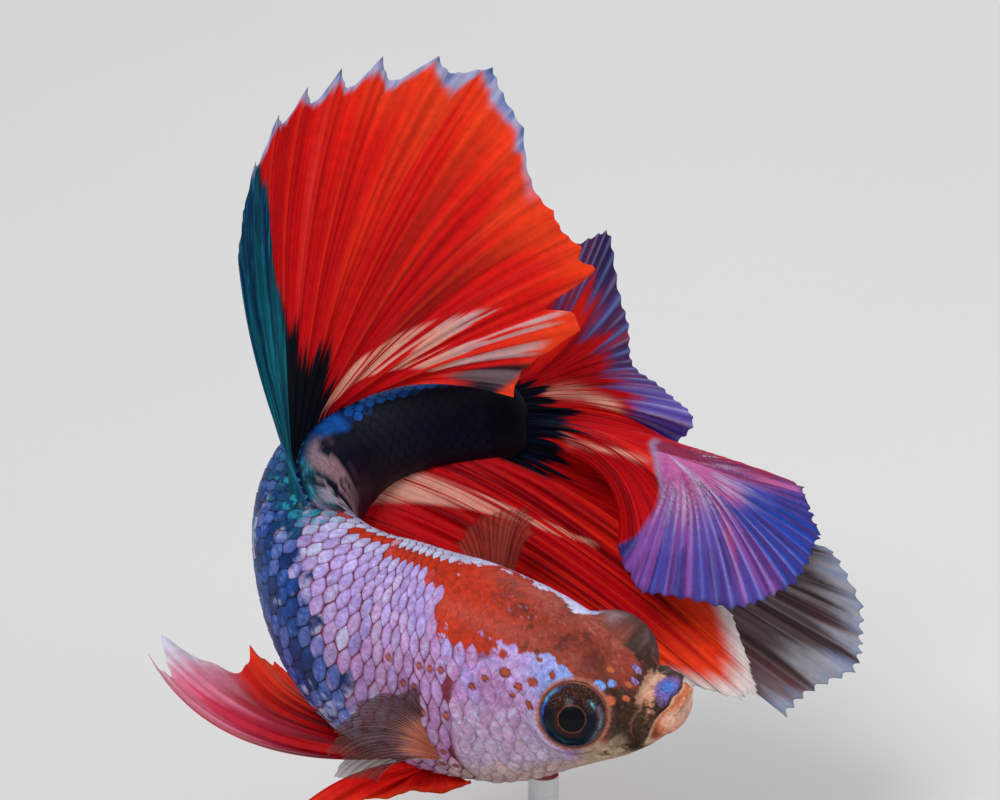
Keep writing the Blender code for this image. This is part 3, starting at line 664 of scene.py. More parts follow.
def head_paint(paint, s, degrees, points):
    """Adds the jaws, the spots and the eyes' rims, which only the skin shows."""
    low = np.abs(side_of(degrees))
    speck = head_speck(points)
    behind, past = from_mouth(points, degrees)
    behind = behind + 0.06 * speck
    snout = ramp(s, 0.062, -0.004)
    upper = smooth(behind / 0.07) * snout
    lower = smooth(-behind / 0.07) * ramp(s - 0.01 * speck, 0.055, -0.01)

    # The upper jaw's bone is brown, with an orange and cream fold at its top, whose cream upper edge is a
    # painted highlight, and a blue and violet knob
    bone = upper * ramp(maxilla_depth(past), behind, 0.12)
    x, y, z = in_head(points)
    fold = upper * ramp(x + 0.5 * speck, 1.55, 0.3) * ramp(x - 0.3 * speck, 2.95, -0.25)
    fold = fold * ramp(z + speck, -2.6, 0.7) * ramp(z - speck, 1.1, -0.5)
    grit = mottle(points / MM, 0.11, SEED + 8)
    knob = np.linalg.norm((np.stack([x, y, z], -1) - KNOB) / KNOB_SIZE, axis=-1)
    tip = upper * ramp(behind, 0.34, -0.2) * ramp(z, 0.1, 0.4)
    paint = lay(
        paint,
        (bone * (0.95 + speck), BROWN),
        (bone * ramp(speck, -0.05, 0.4) * 0.30, BROWN_PALE),
        (upper * bell(behind - maxilla_depth(past), 0.05, 0.10) * 0.7, BROWN_PALE),
        (fold, ORANGE_PALE),
        # Painted highlight: cream along the fold's upper edge
        (fold * ramp(0.8 * speck + y, 0.75, 0.6) * 0.85, CREAM),
        (fold * bell(x, 2.75, 0.16) * 0.5, BROWN_PALE),
        (fold * ramp(speck, -0.10, -0.2) * 0.35, BROWN_PALE),
        (upper * ramp(knob - grit, 1.75, -0.6), LIP_VIOLET),
        (upper * ramp(knob - 1.6 * grit, 1.15, -0.6) * 0.9, LIP_BLUE),
        (upper * ramp(grit, 0.06, 0.10) * ramp(knob, 1.5, -0.4) * 0.55, ROYAL_LILAC),
        (upper * ramp(grit, -0.10, -0.10) * ramp(knob, 1.9, -0.4) * 0.6, LIP_DARK),
        (tip * 0.85, LIP_DARK),
    )

    # The lower jaw: cream along the mouth, orange and brown below it, and a painted pink highlight at its
    # end, with a painted shadow along the mouth's line
    dim = bell(behind, -0.42, 0.18) * ramp(past, -2.0, 0.8)
    jaw = lay(
        np.zeros(paint.shape) + ORANGE,
        (ramp(speck - behind, 0.55, 0.5), ORANGE_PALE),
        (dim * (0.75 + speck), (0.26, 0.055, 0.025)),
        (bell(behind, -0.14, 0.09) * 0.9, CREAM),
        # Painted highlight: a pale pink patch toward the jaw's end, below the mouth
        (bell(past, -2.1, 0.45) * ramp(behind, -0.3, -0.3) * 0.8, JAW_HIGHLIGHT),
        (ramp(past, -0.3, 0.8) * 0.7, CREAM),
    )
    paint = lay(
        paint,
        (lower, jaw),
        # Painted shadow: a dark line along the mouth, where the jaws meet
        (bell(behind, 0.0, 0.06) * ramp(past, 0.3, -0.2) * snout * 0.95, MOUTH_DARK),
    )

    beside_eye = np.maximum(ramp(from_eye(points, 1)[0], 3.9, 0.3), side_of(degrees) < 0)
    for spots, tint in ((ORANGE_SPOTS, ORANGE), (BLUE_SPOTS, SPOT_BLUE), (VIOLET_SPOTS, LIP_VIOLET)):
        for spot in spots:
            far = from_spot(s, low, spot) + 0.5 * speck
            glint = smooth(grit / 0.1) * 0.5 * (tint[2] > 0.2)
            paint = lay(
                paint,
                (ramp(far, 1.4, -0.3) * 0.5 * beside_eye, BRICK_DARK),
                (ramp(far, 1.1, -0.25) * beside_eye, lay(tint + 0 * paint, (glint, PALE))),
            )
    paint = red_dots(paint, s, low, speck)

    # Collars round both eyes, and the brown lid over the left one, with a painted pale highlight along its
    # upper rear foot
    middle, _, front, up = eye_frame(1)
    offset = (points - middle) / MM
    highlight_side = smooth(offset @ up - 0.45 * (offset @ front))
    for side in (1, -1):
        rho, lateral, _ = from_eye(points, side)
        outside = lateral > -2.0
        if side > 0:
            lid_tint = lay(EYE_LID + 0 * paint, (ramp(speck, -0.05, 0.2) * 0.5, BROWN))
            paint = lay(
                paint,
                (ramp(rho - 0.4 * speck, 3.45, -0.25) * outside, lid_tint),
                # Painted highlight: a pale grey-pink line round the lid's foot, on its upper rear side
                (bell(rho, 3.25, 0.16) * outside * highlight_side * 0.6, GREY_PINK),
            )
        paint = lay(paint, (ramp(rho - 0.3 * speck, 2.68, -0.2) * outside * 0.9, EYE_SKIN))
    return paint


def body_material(name, relief):
    """Paint laid on the mesh, broken up by grain and pigment cells, with a faint wet bloom."""
    make = Shader(name)
    grain = make.noise(make.place(), 2600, 3, 0.6)
    cloud = make.noise(make.place(), 500, 2)
    pigment = make.cells(make.place(), 5200)
    value = make.add(make.times(make.step(grain, 0.30, 0.70), 0.38), make.times(cloud, 0.35))
    value = make.add(value, make.times(make.step(pigment, 0.0, 0.14), 0.20))
    colour = make.shade(make.attribute("paint", "Color"), make.add(value, 0.44))
    make.bump(make.add(grain, make.times(pigment, 0.8)), 0.03 * MM * relief, 0.6)
    return make.surface(colour=colour, roughness=0.46, specular=0.11, coat=0.03, coat_roughness=0.2)


# ---------------------------------------------------------------------------------- body pieces

EYE_SKIN, EYE_LID = (0.34, 0.125, 0.085), (0.075, 0.030, 0.022)
EYE_RING, EYE_DOME = (0.22, 0.065, 0.040), (0.060, 0.030, 0.022)
# Degrees that each eye looks forward and upward of straight out
GAZE = {1: (0.0, -8.0), -1: (22.0, 23.0)}
# Millimetres that each eye sits forward, outward and upward of its place in the solids
EYE_SHIFT = {1: (0.0, -0.40, -0.15), -1: (0.10, 0.0, 0.22)}
EYE_COLLAR, EYE_COLLAR_FOOT, EYE_COLLAR_RISE = 2.33, 3.75, 0.95


def eye_frame(side):
    """The eye's middle, the way it looks, and the forward and upward directions across it."""
    place, _, left, up = spine_at(EYE_STATION)
    out = left * side
    ahead, above = (math.tan(math.radians(angle)) for angle in GAZE[side])
    look = out + FORWARD * ahead + up * above
    look /= np.linalg.norm(look)
    front = FORWARD - look * (FORWARD @ look)
    front /= np.linalg.norm(front)
    forward, outward, upward = EYE_SHIFT[side]
    middle = place + out * EYE_OUT + up * EYE_UP + (FORWARD * forward + out * outward + up * upward) * MM
    return middle, look, front, np.cross(front, look) * side


def from_eye(points, side):
    """Millimetres from the eye's axis, and along it from the eye's middle, and the axis."""
    middle, look, _, _ = eye_frame(side)
    offset = (points - middle) / MM
    lateral = offset @ look
    return np.linalg.norm(offset - lateral[..., None] * look, axis=-1), lateral, look


def gill_cover(s, degrees):
    """Height of the gill covers, whose rear edges stand over the flanks."""
    low = np.abs(side_of(degrees))
    share = np.clip((low - GILL_TOP) / (GILL_FOOT - GILL_TOP), 0, 1)
    ahead = (GILL_REAR + GILL_ROUND * np.sin(math.pi * share) ** 0.6 - s) * BODY_LENGTH / MM
    on_cover = ramp(low, GILL_TOP - 4, 8) * ramp(low, GILL_FOOT + 4, -8)
    return 0.22 * MM * smooth(ahead / 0.12 + 0.5) * ramp(ahead, 6, -5) * on_cover


def head_relief(points, s, degrees):
    """How far the lips, jaws, nostrils, forehead and wrinkled bend stand out, in metres."""
    side = side_of(degrees)
    low = np.abs(side)
    place = points / MM
    behind, past = from_mouth(points, degrees)
    snout = ramp(s, 0.062, -0.006)
    before_corner = ramp(past, 0.2, -0.3)
    height = -0.30 * bell(behind, 0.0, 0.08) * before_corner * snout
    edge = ramp(maxilla_depth(past), behind, 0.10) * ramp(behind, 0.02, 0.12)
    height += 0.24 * edge * snout
    height += 0.22 * bell(np.hypot((behind - 0.45) / 0.7, (past + 2.95) / 0.6), 0, 0.9) * snout
    height += 0.52 * smooth(-behind / 0.6) * bell(past, -1.25, 0.80) * ramp(s, 0.060, -0.03)
    height -= 0.42 * bell(s, 0.042, 0.014) * ramp(low, 50, -30)
    far = from_spot(s, low, NOSTRIL)
    height += 0.10 * bell(far, 1.5, 0.5) - 0.16 * bell(far, 0.0, 0.8)
    rough = ramp(s, 0.24, -0.06) * ramp(s, 0.02, 0.02)
    height += rough * (0.10 * mottle(place, 1.1, SEED + 12) + 0.05 * mottle(place, 0.35, SEED + 13))
    inner = ramp(side, 8, 14) * bell(s, 0.66, 0.08)
    return (height + 0.35 * inner * wrinkles(s, side)) * MM


def raise_eye_rims(points):
    """Lifts the skin into a collar round each eyeball, and sinks what the eyeball covers."""
    for side in (1, -1):
        rho, lateral, look = from_eye(points, side)
        near = lateral > -2.6
        slope = (EYE_COLLAR_FOOT - rho) / (EYE_COLLAR_FOOT - EYE_COLLAR)
        target = EYE_COLLAR_RISE - 1.1 * (1 - smooth(slope))
        lift = np.maximum(target - lateral, 0) * smooth(slope * 1.6)
        sink = (lateral + lift + 1.0) * ramp(rho, EYE_COLLAR, -0.16)
        points = points + (np.where(near, lift - sink, 0) * MM)[..., None] * look
    return points


SKIN_AROUND, HEAD_ROWS, TRUNK_ROWS, NOSE_ROWS, TAIL_ROWS = 312, 226, 60, 12, 9
FINE_ROWS_TO = 0.30  # the head's rows of points lie closer, up to this station
NOSE_BULGE, TAIL_BULGE = 0.12 * MM, 1.8 * MM  # how far the caps of both ends stand out
TAIL_CAP_LEFT = 0.25  # how wide the last ring of the tail's cap stays


def build_skin():
    """One skin over head, jaws, gill covers, trunk and tail stem."""
    stations = np.concatenate([
        np.linspace(0, FINE_ROWS_TO, HEAD_ROWS, endpoint=False),
        np.linspace(FINE_ROWS_TO, 1.0, TRUNK_ROWS),
    ])
    degrees = np.linspace(0, 360, SKIN_AROUND, endpoint=False)
    s, a = np.meshgrid(stations, degrees, indexing="ij")
    points = skin_point(s, a, gill_cover(s, a) - COAT)
    rings = list(points)
    nose, tail = points[0], points[-1]
    for k in range(1, NOSE_ROWS + 1):
        angle = math.pi / 2 * k / (NOSE_ROWS + 0.3)
        ring = nose.mean(0) + (nose - nose.mean(0)) * math.cos(angle)
        rings.insert(0, ring + FORWARD * NOSE_BULGE * math.sin(angle))
    for k in range(1, TAIL_ROWS + 1):
        angle = math.pi / 2 * k / (TAIL_ROWS + 0.3)
        width = TAIL_CAP_LEFT + (1 - TAIL_CAP_LEFT) * math.cos(angle)
        ring = tail.mean(0) + (tail - tail.mean(0)) * width
        rings.append(ring + spine_at(1.0)[1] * TAIL_BULGE * math.sin(angle))
    points = np.array(rings)
    s = np.concatenate([np.zeros(NOSE_ROWS), stations, np.ones(TAIL_ROWS)])[:, None] + 0 * degrees
    a = degrees + 0 * s
    normals = grid_normals(points)
    inward = np.sum(normals * (points - spine_at(s)[0]), -1).mean() < 0
    points = points + head_relief(points, s, a)[..., None] * (-normals if inward else normals)
    points = raise_eye_rims(points)
    paint = body_paint(s, a, points)
    paint = lay(paint, (net_share(s, side_of(a)), net_tint(paint)))
    paint = head_paint(paint, s, a, points)
    uv = np.stack([np.linspace(0, 1, len(points))[:, None] + 0 * a, a / 360], -1)
    faces = tube_faces(len(points), SKIN_AROUND)
    skin = make_piece("skin", points, faces, body_material("skin_paint", 1.0), paint, uv=uv)
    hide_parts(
        "head", "upper_jaw", "lower_jaw", "gill_cover_left", "gill_cover_right",
        "trunk", "trunk_bend", "tail_stem",
    )


# Each coat of scales: first and last station, pitch along the body in stations, rows around it,
# the height that a free edge stands above the skin in millimetres, and how far plates stray
COATS = {
    "scales_cheek": (0.152, 0.284, 0.0180, 38, 0.12, 0.34),
    "scales_fore": (0.2226, 0.4866, 0.0165, 32, 0.10, 0.08),
    "scales_rear": (0.4866, 0.7341, 0.0165, 32, 0.09, 0.08),
    "scales_stem": (0.7341, 0.9816, 0.0165, 32, 0.08, 0.08),
}
DOTTED = (0.285, 0.375, 58, 0.4)  # stations and lowest angle of the dotted scales, and their share
PLATE_ALONG = np.array([-1, -1, -0.88, -0.55, -0.25, 0, 0.25, 0.55, 0.88, 1, 1])
PLATE_ACROSS = np.array([0, 0.10, 0.20, 0.36, 0.55, 0.74, 0.90, 0.97, 1])
PLATE_ACROSS = np.concatenate([-PLATE_ACROSS[:0:-1], PLATE_ACROSS])
# Where a plate's tips lie across the rows, and where it starts to narrow, in rows
PLATE_REACH, PLATE_FLAT = 0.71, 0.29


def cover_edge(low):
    """Station of the first scales behind the gill cover."""
    return 0.222 + 0.045 * ramp(low, 50, 14) + 0.025 * bell(low, 106, 36)


def smooth_back(s, low):
    """Where the scales of the head and fore back lie flat, with no net between them."""
    return ramp(low, 60, -20) * ramp(s, 0.38, -0.12)


def net_share(s, side):
    """Where the skin shows the dark net between the scales."""
    low = np.abs(side)
    wrinkled = ramp(side, 6, 6) * ramp(s, 0.78, -0.02) * ramp(s, 0.56, 0.02)
    return ramp(s - cover_edge(low), -0.012, 0.012) * (1 - wrinkled) * (1 - smooth_back(s, low))


def net_tint(paint):
    """The net's colour round a scale: purple-red on the lilac, navy on the blue, faint elsewhere."""
    blue = smooth((paint[..., 2] * 0.5 - paint[..., 0]) / 0.03)
    red = smooth((paint[..., 0] - 2.5 * paint[..., 2]) / 0.1)
    return lay(
        np.zeros(paint.shape) + NET_RED,
        (blue, NET_NAVY),
        (red, 0.75 * paint),
        (ramp(paint.max(-1), 0.07, -0.04), 0.5 * paint),
    )


def has_scale(name, s, side, point):
    """Whether a coat has a scale here."""
    low = abs(side)
    clear = all(from_eye(point, eye)[0] > 3.4 or from_eye(point, eye)[1] < -3.0 for eye in (1, -1))
    behind_cover = s > float(cover_edge(low))
    if name == "scales_cheek":
        return 72 - 14 * (s > 0.172) < low < 150 and clear and not behind_cover
    return behind_cover and not (side > 8 and 0.565 < s < 0.775)


def scale_plate(relief):
    """A plate's points: place along the body in pitches, place across in rows, height in
    millimetres, share of net colour and painted shade. It is a tall pointed oval, so plates tile."""
    x, y = np.meshgrid(PLATE_ALONG, PLATE_ACROSS, indexing="ij")
    slope = (PLATE_REACH - PLATE_FLAT) / PLATE_REACH
    waist = (1 + (slope / np.maximum(1 - np.abs(y), 1e-3)) ** 5) ** -0.2
    height = relief * (0.60 + 0.40 * x) * (1 - 0.35 * y * y)
    net = np.maximum(ramp(np.abs(x), 0.80, 0.16), ramp(np.abs(y), 0.90, 0.08))
    # Painted shade over each plate: darker toward its low front and its tips, palest near its raised rear
    # edge
    light = 1.0 + 0.08 * x - 0.14 * np.abs(y) ** 3 - 0.08 * np.abs(x) ** 3
    height[[0, -1]] = height[:, [0, -1]] = -0.12
    return 0.492 * x * waist, PLATE_REACH * y, height, 0.80 * net, light


def build_scales(name, material):
    """Plates in rows along the body, every other row half a plate further back."""
    first, last, pitch, row_count, relief, stray = COATS[name]
    rng = np.random.default_rng(SEED)
    row_pitch = 360 / row_count
    places, corners = [], []
    for column in range(round((last - first) / pitch)):
        for row in range(row_count):
            shift = stray * (rng.random(2) - 0.5)
            s = first + pitch * (column + 0.5 * (row % 2) + shift[0])
            degrees = row_pitch * (row + shift[1])
            luck = rng.random(3)
            if has_scale(name, s, float(side_of(degrees)), skin_point(s, degrees, -COAT)):
                places.append((s, degrees, *luck))
                corners.append((s - pitch / 2, row / row_count))
    middle_s, middle_a, luck, lift, dot = np.array(places).T[..., None, None]
    middle_low = np.abs(side_of(middle_a))
    along, across, height, net, light = scale_plate(relief)
    slant = stray * (lift - 0.5)
    s, a = middle_s + pitch * (along + slant * across), middle_a + row_pitch * across
    fade = np.interp(middle_s, [0.20, 0.30, 0.70, 0.80], [0.8, 1.0, 1.0, 0.5])
    calm = 0.93 * smooth_back(middle_s, middle_low)
    fade, light = fade * (1 - calm), 1 + (light - 1) * (1 - calm)
    outward = height * MM * (0.85 + 0.3 * lift) * fade - COAT + gill_cover(s, a)
    points = skin_point(s, a, outward)

    tint = body_paint(middle_s, middle_a, points, luck)
    edging = lay(net_tint(tint), (np.full(net.shape, 0.5 * (name == "scales_cheek")), tint))
    # Each plate's painted shade, times a random tone of its own
    tint = tint * (light * (1 + 0.16 * (lift - 0.5) * (1 - calm)))[..., None]
    first_dotted, last_dotted, dotted_low, dotted_share = DOTTED
    dotted = (dot < dotted_share) & (middle_s > first_dotted) & (middle_s < last_dotted)
    dotted &= middle_low > dotted_low
    far = np.hypot(along / 0.26, across / 0.16) + 9 * ~dotted  # out of reach on all the others
    colours = lay(
        tint,
        (net * (0.6 + 0.4 * fade) * (1 - calm), edging),
        (ramp(far, 1.3, -0.4), NET_RED),
        (ramp(far, 0.7, -0.3), ORANGE),
    )
    if name == "scales_cheek":
        colours = red_dots(colours, s, np.abs(side_of(a)), head_speck(points))
    grid = grid_faces(*along.shape)
    faces = (grid + along.size * np.arange(len(places))[:, None, None]).reshape(-1, 4)
    spread = np.stack([(along + 0.5) * pitch, (across / (2 * PLATE_REACH) + 0.5) / row_count], -1)
    uv = np.array(corners)[:, None, None] + 0.96 * spread
    scales = make_piece(name, points, faces.tolist(), material, colours, uv=uv)


PUPIL, PUPIL_RING = (0.002, 0.003, 0.004), (0.17, 0.050, 0.025)
IRIS, IRIS_BLUE, IRIS_BROWN = (0.005, 0.005, 0.007), (0.003, 0.005, 0.012), (0.038, 0.012, 0.007)
EYE_BLUE, EYE_TEAL, EYE_PALE = (0.02, 0.13, 0.55), (0.12, 0.48, 0.62), (0.20, 0.22, 0.28)
EYE_ROSE = (0.15, 0.085, 0.105)
EYEBALL_ROWS, EYEBALL_AROUND = 120, 160


def eye_paint(off_axis, turn):
    """The eye's colours by angle from its axis, and angle round it from the front, upward."""
    rho = EYE_RADIUS / MM * np.sin(np.minimum(off_axis, math.pi / 2))
    round_it = np.degrees(turn)
    place = np.stack([rho * np.cos(turn), rho * np.sin(turn)], -1)
    speck = mottle(place, 0.35, SEED + 21)
    upper = smooth(np.sin(turn) * 1.3 - 0.1)
    fleck = mottle(place, 0.10, SEED + 22)
    halo = ramp(rho - 0.5 * speck, 1.55, -0.4) * ramp(np.cos(turn), 0.9, -0.8)
    paint = lay(
        np.zeros(rho.shape + (3,)) + IRIS,
        (1 - upper, IRIS_BLUE),
        # The brown upper half and its rose flecks are partly the iris's own colour and partly a painted
        # sheen from the light above
        (upper * ramp(speck, -0.32, 0.3) * ramp(rho, 1.15, 0.2), IRIS_BROWN),
        (upper * ramp(fleck, 0.10, 0.10) * ramp(rho, 1.1, 0.2) * 0.6, EYE_ROSE),
        (halo * (0.7 + fleck), IRIS_BROWN),
    )
    # Arcs round the iris: at the rear, blue and teal that are partly the iris's own colour and partly a
    # painted reflection; at the front, a teal glint above and rose and pale arcs, which are painted
    # highlights; below, a faint teal arc and a pale rim
    for middle, width, radius, spread, tint, strength in (
        (155, 30, 2.10, 0.09, EYE_BLUE, 1.1), (142, 14, 2.14, 0.09, EYE_TEAL, 0.9),
        (205, 22, 2.16, 0.08, EYE_BLUE, 0.4), (36, 9, 1.66, 0.09, EYE_TEAL, 0.9),
        (8, 22, 1.88, 0.16, EYE_ROSE, 1.0), (-20, 26, 1.98, 0.12, EYE_PALE, 0.7),
        (-112, 34, 1.75, 0.16, EYE_TEAL, 0.12), (-70, 60, 2.19, 0.08, EYE_PALE, 0.5),
    ):
        away = (round_it - middle + 180) % 360 - 180
        share = bell(away, 0, width) * bell(rho, radius, spread) * (0.8 + 2.0 * speck + 1.6 * fleck)
        paint = lay(paint, (share * strength, tint))
    ring = np.degrees(off_axis) + 3 * speck
    return lay(
        paint,
        (ramp(rho - 0.08 * speck, 1.04, -0.09) * 0.9, PUPIL_RING),
        (ramp(rho - 0.04 * speck, 0.95, -0.05), PUPIL),
        (ramp(ring, 62, 3), EYE_RING),
        (ramp(ring, 68, 6), EYE_DOME),
    )


def build_eyes():
    """Both eyeballs: rings round each eye's line of sight, painted by angle from it."""
    make = Shader("eye_paint")
    grain = make.noise(make.place(), 1800, 3)
    colour = make.shade(make.attribute("paint", "Color"), make.add(make.times(grain, 0.8), 0.6))
    make.surface(colour=colour, roughness=0.35, specular=0.05, coat=0.10, coat_roughness=0.12)
    for name, side in (("left", 1), ("right", -1)):
        middle, look, front, up = eye_frame(side)
        turn, off = np.meshgrid(
            np.linspace(0, 2 * math.pi, EYEBALL_AROUND, endpoint=False),
            np.linspace(0.004, 0.78 * math.pi, EYEBALL_ROWS),
        )
        across = np.cos(turn)[..., None] * front + np.sin(turn)[..., None] * up
        points = middle + EYE_RADIUS * (np.cos(off)[..., None] * look + np.sin(off)[..., None] * across)
        spread = 0.48 * off / math.pi
        uv = np.stack([0.5 + spread * np.cos(turn), 0.5 + spread * np.sin(turn)], -1)
        faces = tube_faces(EYEBALL_ROWS, EYEBALL_AROUND)
        eye = make_piece(f"eyeball_{name}", points, faces, make.material, eye_paint(off, turn), uv=uv)
        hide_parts(f"eye_{name}")


# ----------------------------------------------------------------------------------------- fins

FIN_RED, FIN_DEEP, SCARLET = (0.60, 0.004, 0.008), (0.19, 0.001, 0.006), (0.82, 0.014, 0.008)
FIN_ORANGE, FIN_CREAM, FIN_PINK = (0.92, 0.065, 0.015), (0.80, 0.40, 0.31), (0.72, 0.09, 0.17)
FIN_TEAL, FIN_TEAL_DARK, FIN_BLACK = (0.003, 0.120, 0.155), (0.001, 0.022, 0.035), (0.002, 0.004, 0.009)
FIN_TIP, FIN_NAVY, FIN_AZURE = (0.46, 0.46, 0.68), (0.003, 0.016, 0.085), (0.04, 0.14, 0.48)
FAN_VIOLET, FAN_BLUE, FAN_PINK = (0.17, 0.13, 0.58), (0.016, 0.075, 0.48), (0.74, 0.20, 0.50)
FAN_CRIMSON, FAN_WHITE = (0.36, 0.03, 0.10), (0.72, 0.66, 0.86)
SMOKE, SMOKE_PALE, SMOKE_EDGE = (0.075, 0.044, 0.048), (0.19, 0.135, 0.135), (0.50, 0.50, 0.56)
WEB_BROWN, WEB_RED, RAY_PALE = (0.09, 0.035, 0.035), (0.30, 0.030, 0.022), (0.20, 0.10, 0.085)


class Strokes:
    """Places on a fin: u across its rays, t along them and share of the way to the cut margin."""

    def __init__(self, u, t, share, ray_count):
        self.u, self.t, self.share, self.phase = u, t, share, u * (ray_count - 1)

    def plain(self, tint):
        """The whole fin in one tint."""
        return np.zeros(self.t.shape + (3,)) + tint

    def streak(self, across, along=1.6, seed=SEED):
        """Noise drawn out along the rays, from -0.5 to 0.5."""
        finer = drawn_noise(self.u * across * 2.3, self.t * along * 1.5, seed + 1)
        return 0.65 * drawn_noise(self.u * across, self.t * along, seed) + 0.35 * finer

    def lines(self, per_ray, sharp):
        """1 on each fine line that runs along the rays, 0 between."""
        return np.abs(np.cos(math.pi * self.phase * per_ray)) ** sharp

    def from_u(self, edge, width, wander=0.0):
        """A ramp across the rays, centred on this edge."""
        return ramp(self.u + wander, edge - width / 2, width)

    def from_t(self, edge, width, wander=0.0):
        """A ramp along the rays, centred on this edge."""
        return ramp(self.t + wander, edge - width / 2, width)


def dorsal_paint(on):
    """Red to orange, teal and black at the root, pale tips, and a cream band far back."""
    u, t = on.u, on.t
    fine, mid, broad = on.streak(170), on.streak(46, seed=11), on.streak(13, seed=12)
    glow = ramp(mid + 0.6 * fine, 0.08, 0.2) * bell(u, 0.62, 0.2) * bell(t, 0.65, 0.3)
    dark = ramp(fine + mid, 0.02, 0.22) * bell(u, 0.74, 0.13) * bell(t, 0.48, 0.34)
    paint = lay(
        on.plain(FIN_RED),
        (on.from_t(0.52, 0.7, 0.5 * mid) * on.from_u(0.30, 0.5, 0.3 * broad), SCARLET),
        (on.from_t(0.84, 0.26, 0.35 * mid) * on.from_u(0.44, 0.2), FIN_ORANGE),
        (glow * 0.4, FIN_ORANGE),
        (bell(u, 0.33, 0.09) * bell(t, 0.62, 0.3) * mid * 0.4, FIN_PINK),
        (dark * 0.75, FIN_DEEP),
        (ramp(fine, -0.12, -0.15) * 0.25 * on.from_t(0.2, 0.2), FIN_DEEP),
        (on.lines(1, 60) * on.from_t(0.15, 0.1) * 0.3, FIN_ORANGE),
    )

    # The cream band that sweeps down the hindmost rays, and the dark web beyond it
    middle = np.interp(t, [0.06, 0.20, 0.30, 0.46, 0.60, 0.75], [0.730, 0.778, 0.825, 0.880, 0.905, 0.925])
    reach = np.interp(t, [0.06, 0.20, 0.30, 0.46, 0.60, 0.75], [0.025, 0.045, 0.055, 0.065, 0.060, 0.045])
    band = ramp(np.abs(u - middle) / reach, 1.15, -0.3) * ramp(t, 0.93, -0.12) * smooth(t / 0.08)
    gaps = smooth((on.streak(90, 1.2, 15) + 0.8 * fine + 0.10 - 0.25 * ramp(t, 0.45, 0.3)) / 0.08)
    hind = on.from_u(0.955, 0.03, 0.03 * mid) * on.from_t(0.70, 0.2, 0.25 * mid) * ramp(t, 0.95, -0.06)
    paint = lay(
        paint,
        (band * gaps, FIN_CREAM),
        (band * gaps * ramp(mid, 0.02, 0.2) * 0.6, (0.84, 0.30, 0.16)),
        (band * gaps * ramp(t, 0.4, 0.2) * 0.7, (0.62, 0.44, 0.50)),
        (hind, (0.020, 0.012, 0.022)),
        (hind * ramp(fine + mid, 0.10, 0.2) * 0.45, (0.34, 0.22, 0.24)),
    )

    # Black and teal where the fin leaves the back
    base = np.interp(
        u, [0.17, 0.20, 0.25, 0.30, 0.35, 0.40, 0.60, 0.68, 0.73],
        [1.20, 0.85, 0.58, 0.42, 0.34, 0.26, 0.22, 0.16, 0.06],
    )
    teal = ramp(base + 0.2 * mid, t, 0.08) * (1 - on.from_u(0.30, 0.10, 0.1 * mid))
    paint = lay(
        paint,
        (ramp(base + 0.16 * mid + 0.08 * fine, t, 0.05), FIN_BLACK),
        (teal, FIN_TEAL),
        (teal * ramp(fine + mid, -0.02, 0.2) * 0.8, FIN_TEAL_DARK),
        (teal * on.from_t(0.62, 0.35, 0.3 * mid) * 0.7, FIN_NAVY),
        (teal * on.lines(3, 20) * 0.35, FIN_AZURE),
        (teal * ramp(on.streak(140, 12.0, 16), 0.08, 0.12) * 0.45, (0.01, 0.24, 0.34)),
    )

    # Pale lilac tips with dark points
    reach = ramp(u, 0.76, -0.08) * on.from_u(0.16, 0.05)
    fringe = ramp(on.share + 0.06 * mid + 0.03 * fine, 0.965, 0.03) + on.from_t(0.955, 0.06, 0.14 * mid)
    return lay(
        paint,
        (reach * fringe, FIN_TIP),
        (reach * fringe * ramp(fine, 0.05, 0.1) * 0.4, FIN_AZURE),
        (reach * smooth(on.lines(1, 4) - 0.45) * on.from_t(0.98, 0.03), FIN_NAVY),
    )


# Places on the tail fin, across and along: where the fan opens, and two that set its plane
FAN_ROOT, FAN_UPPER, FAN_LOWER = (0.455, 0.55), (0.39, 1.0), (0.70, 0.93)
FAN_RAY, FAN_LENGTH = 4.6, 15  # degrees from ray to ray of the fan, and its length in millimetres


def fan_of(u, t):
    """The tail's lower fan, which opens from a fold: the share of it here, the degrees round the
    fold, the millimetres from it, and how far inside the fan's edge this is."""
    edge = np.interp(
        u, [0.30, 0.33, 0.37, 0.42, 0.47, 0.52, 0.58, 0.62, 0.66, 0.70, 0.74],
        [0.80, 0.68, 0.56, 0.50, 0.485, 0.49, 0.55, 0.64, 0.74, 0.84, 0.97],
    )
    share = ramp(t, edge, 0.03) * ramp(u, 0.385, 0.02)
    rays, where, _ = FINS["tail_fin"]
    root, upper, lower = (fin_point(rays, where, *place) for place in (FAN_ROOT, FAN_UPPER, FAN_LOWER))
    ahead = (upper - root) / np.linalg.norm(upper - root)
    down = lower - root - ahead * ((lower - root) @ ahead)
    down /= np.linalg.norm(down)
    offset = (fin_point(rays, where, u, t) - root) / MM
    turn = np.degrees(np.arctan2(offset @ down, offset @ ahead))
    return share, turn, np.hypot(offset @ down, offset @ ahead), t - edge


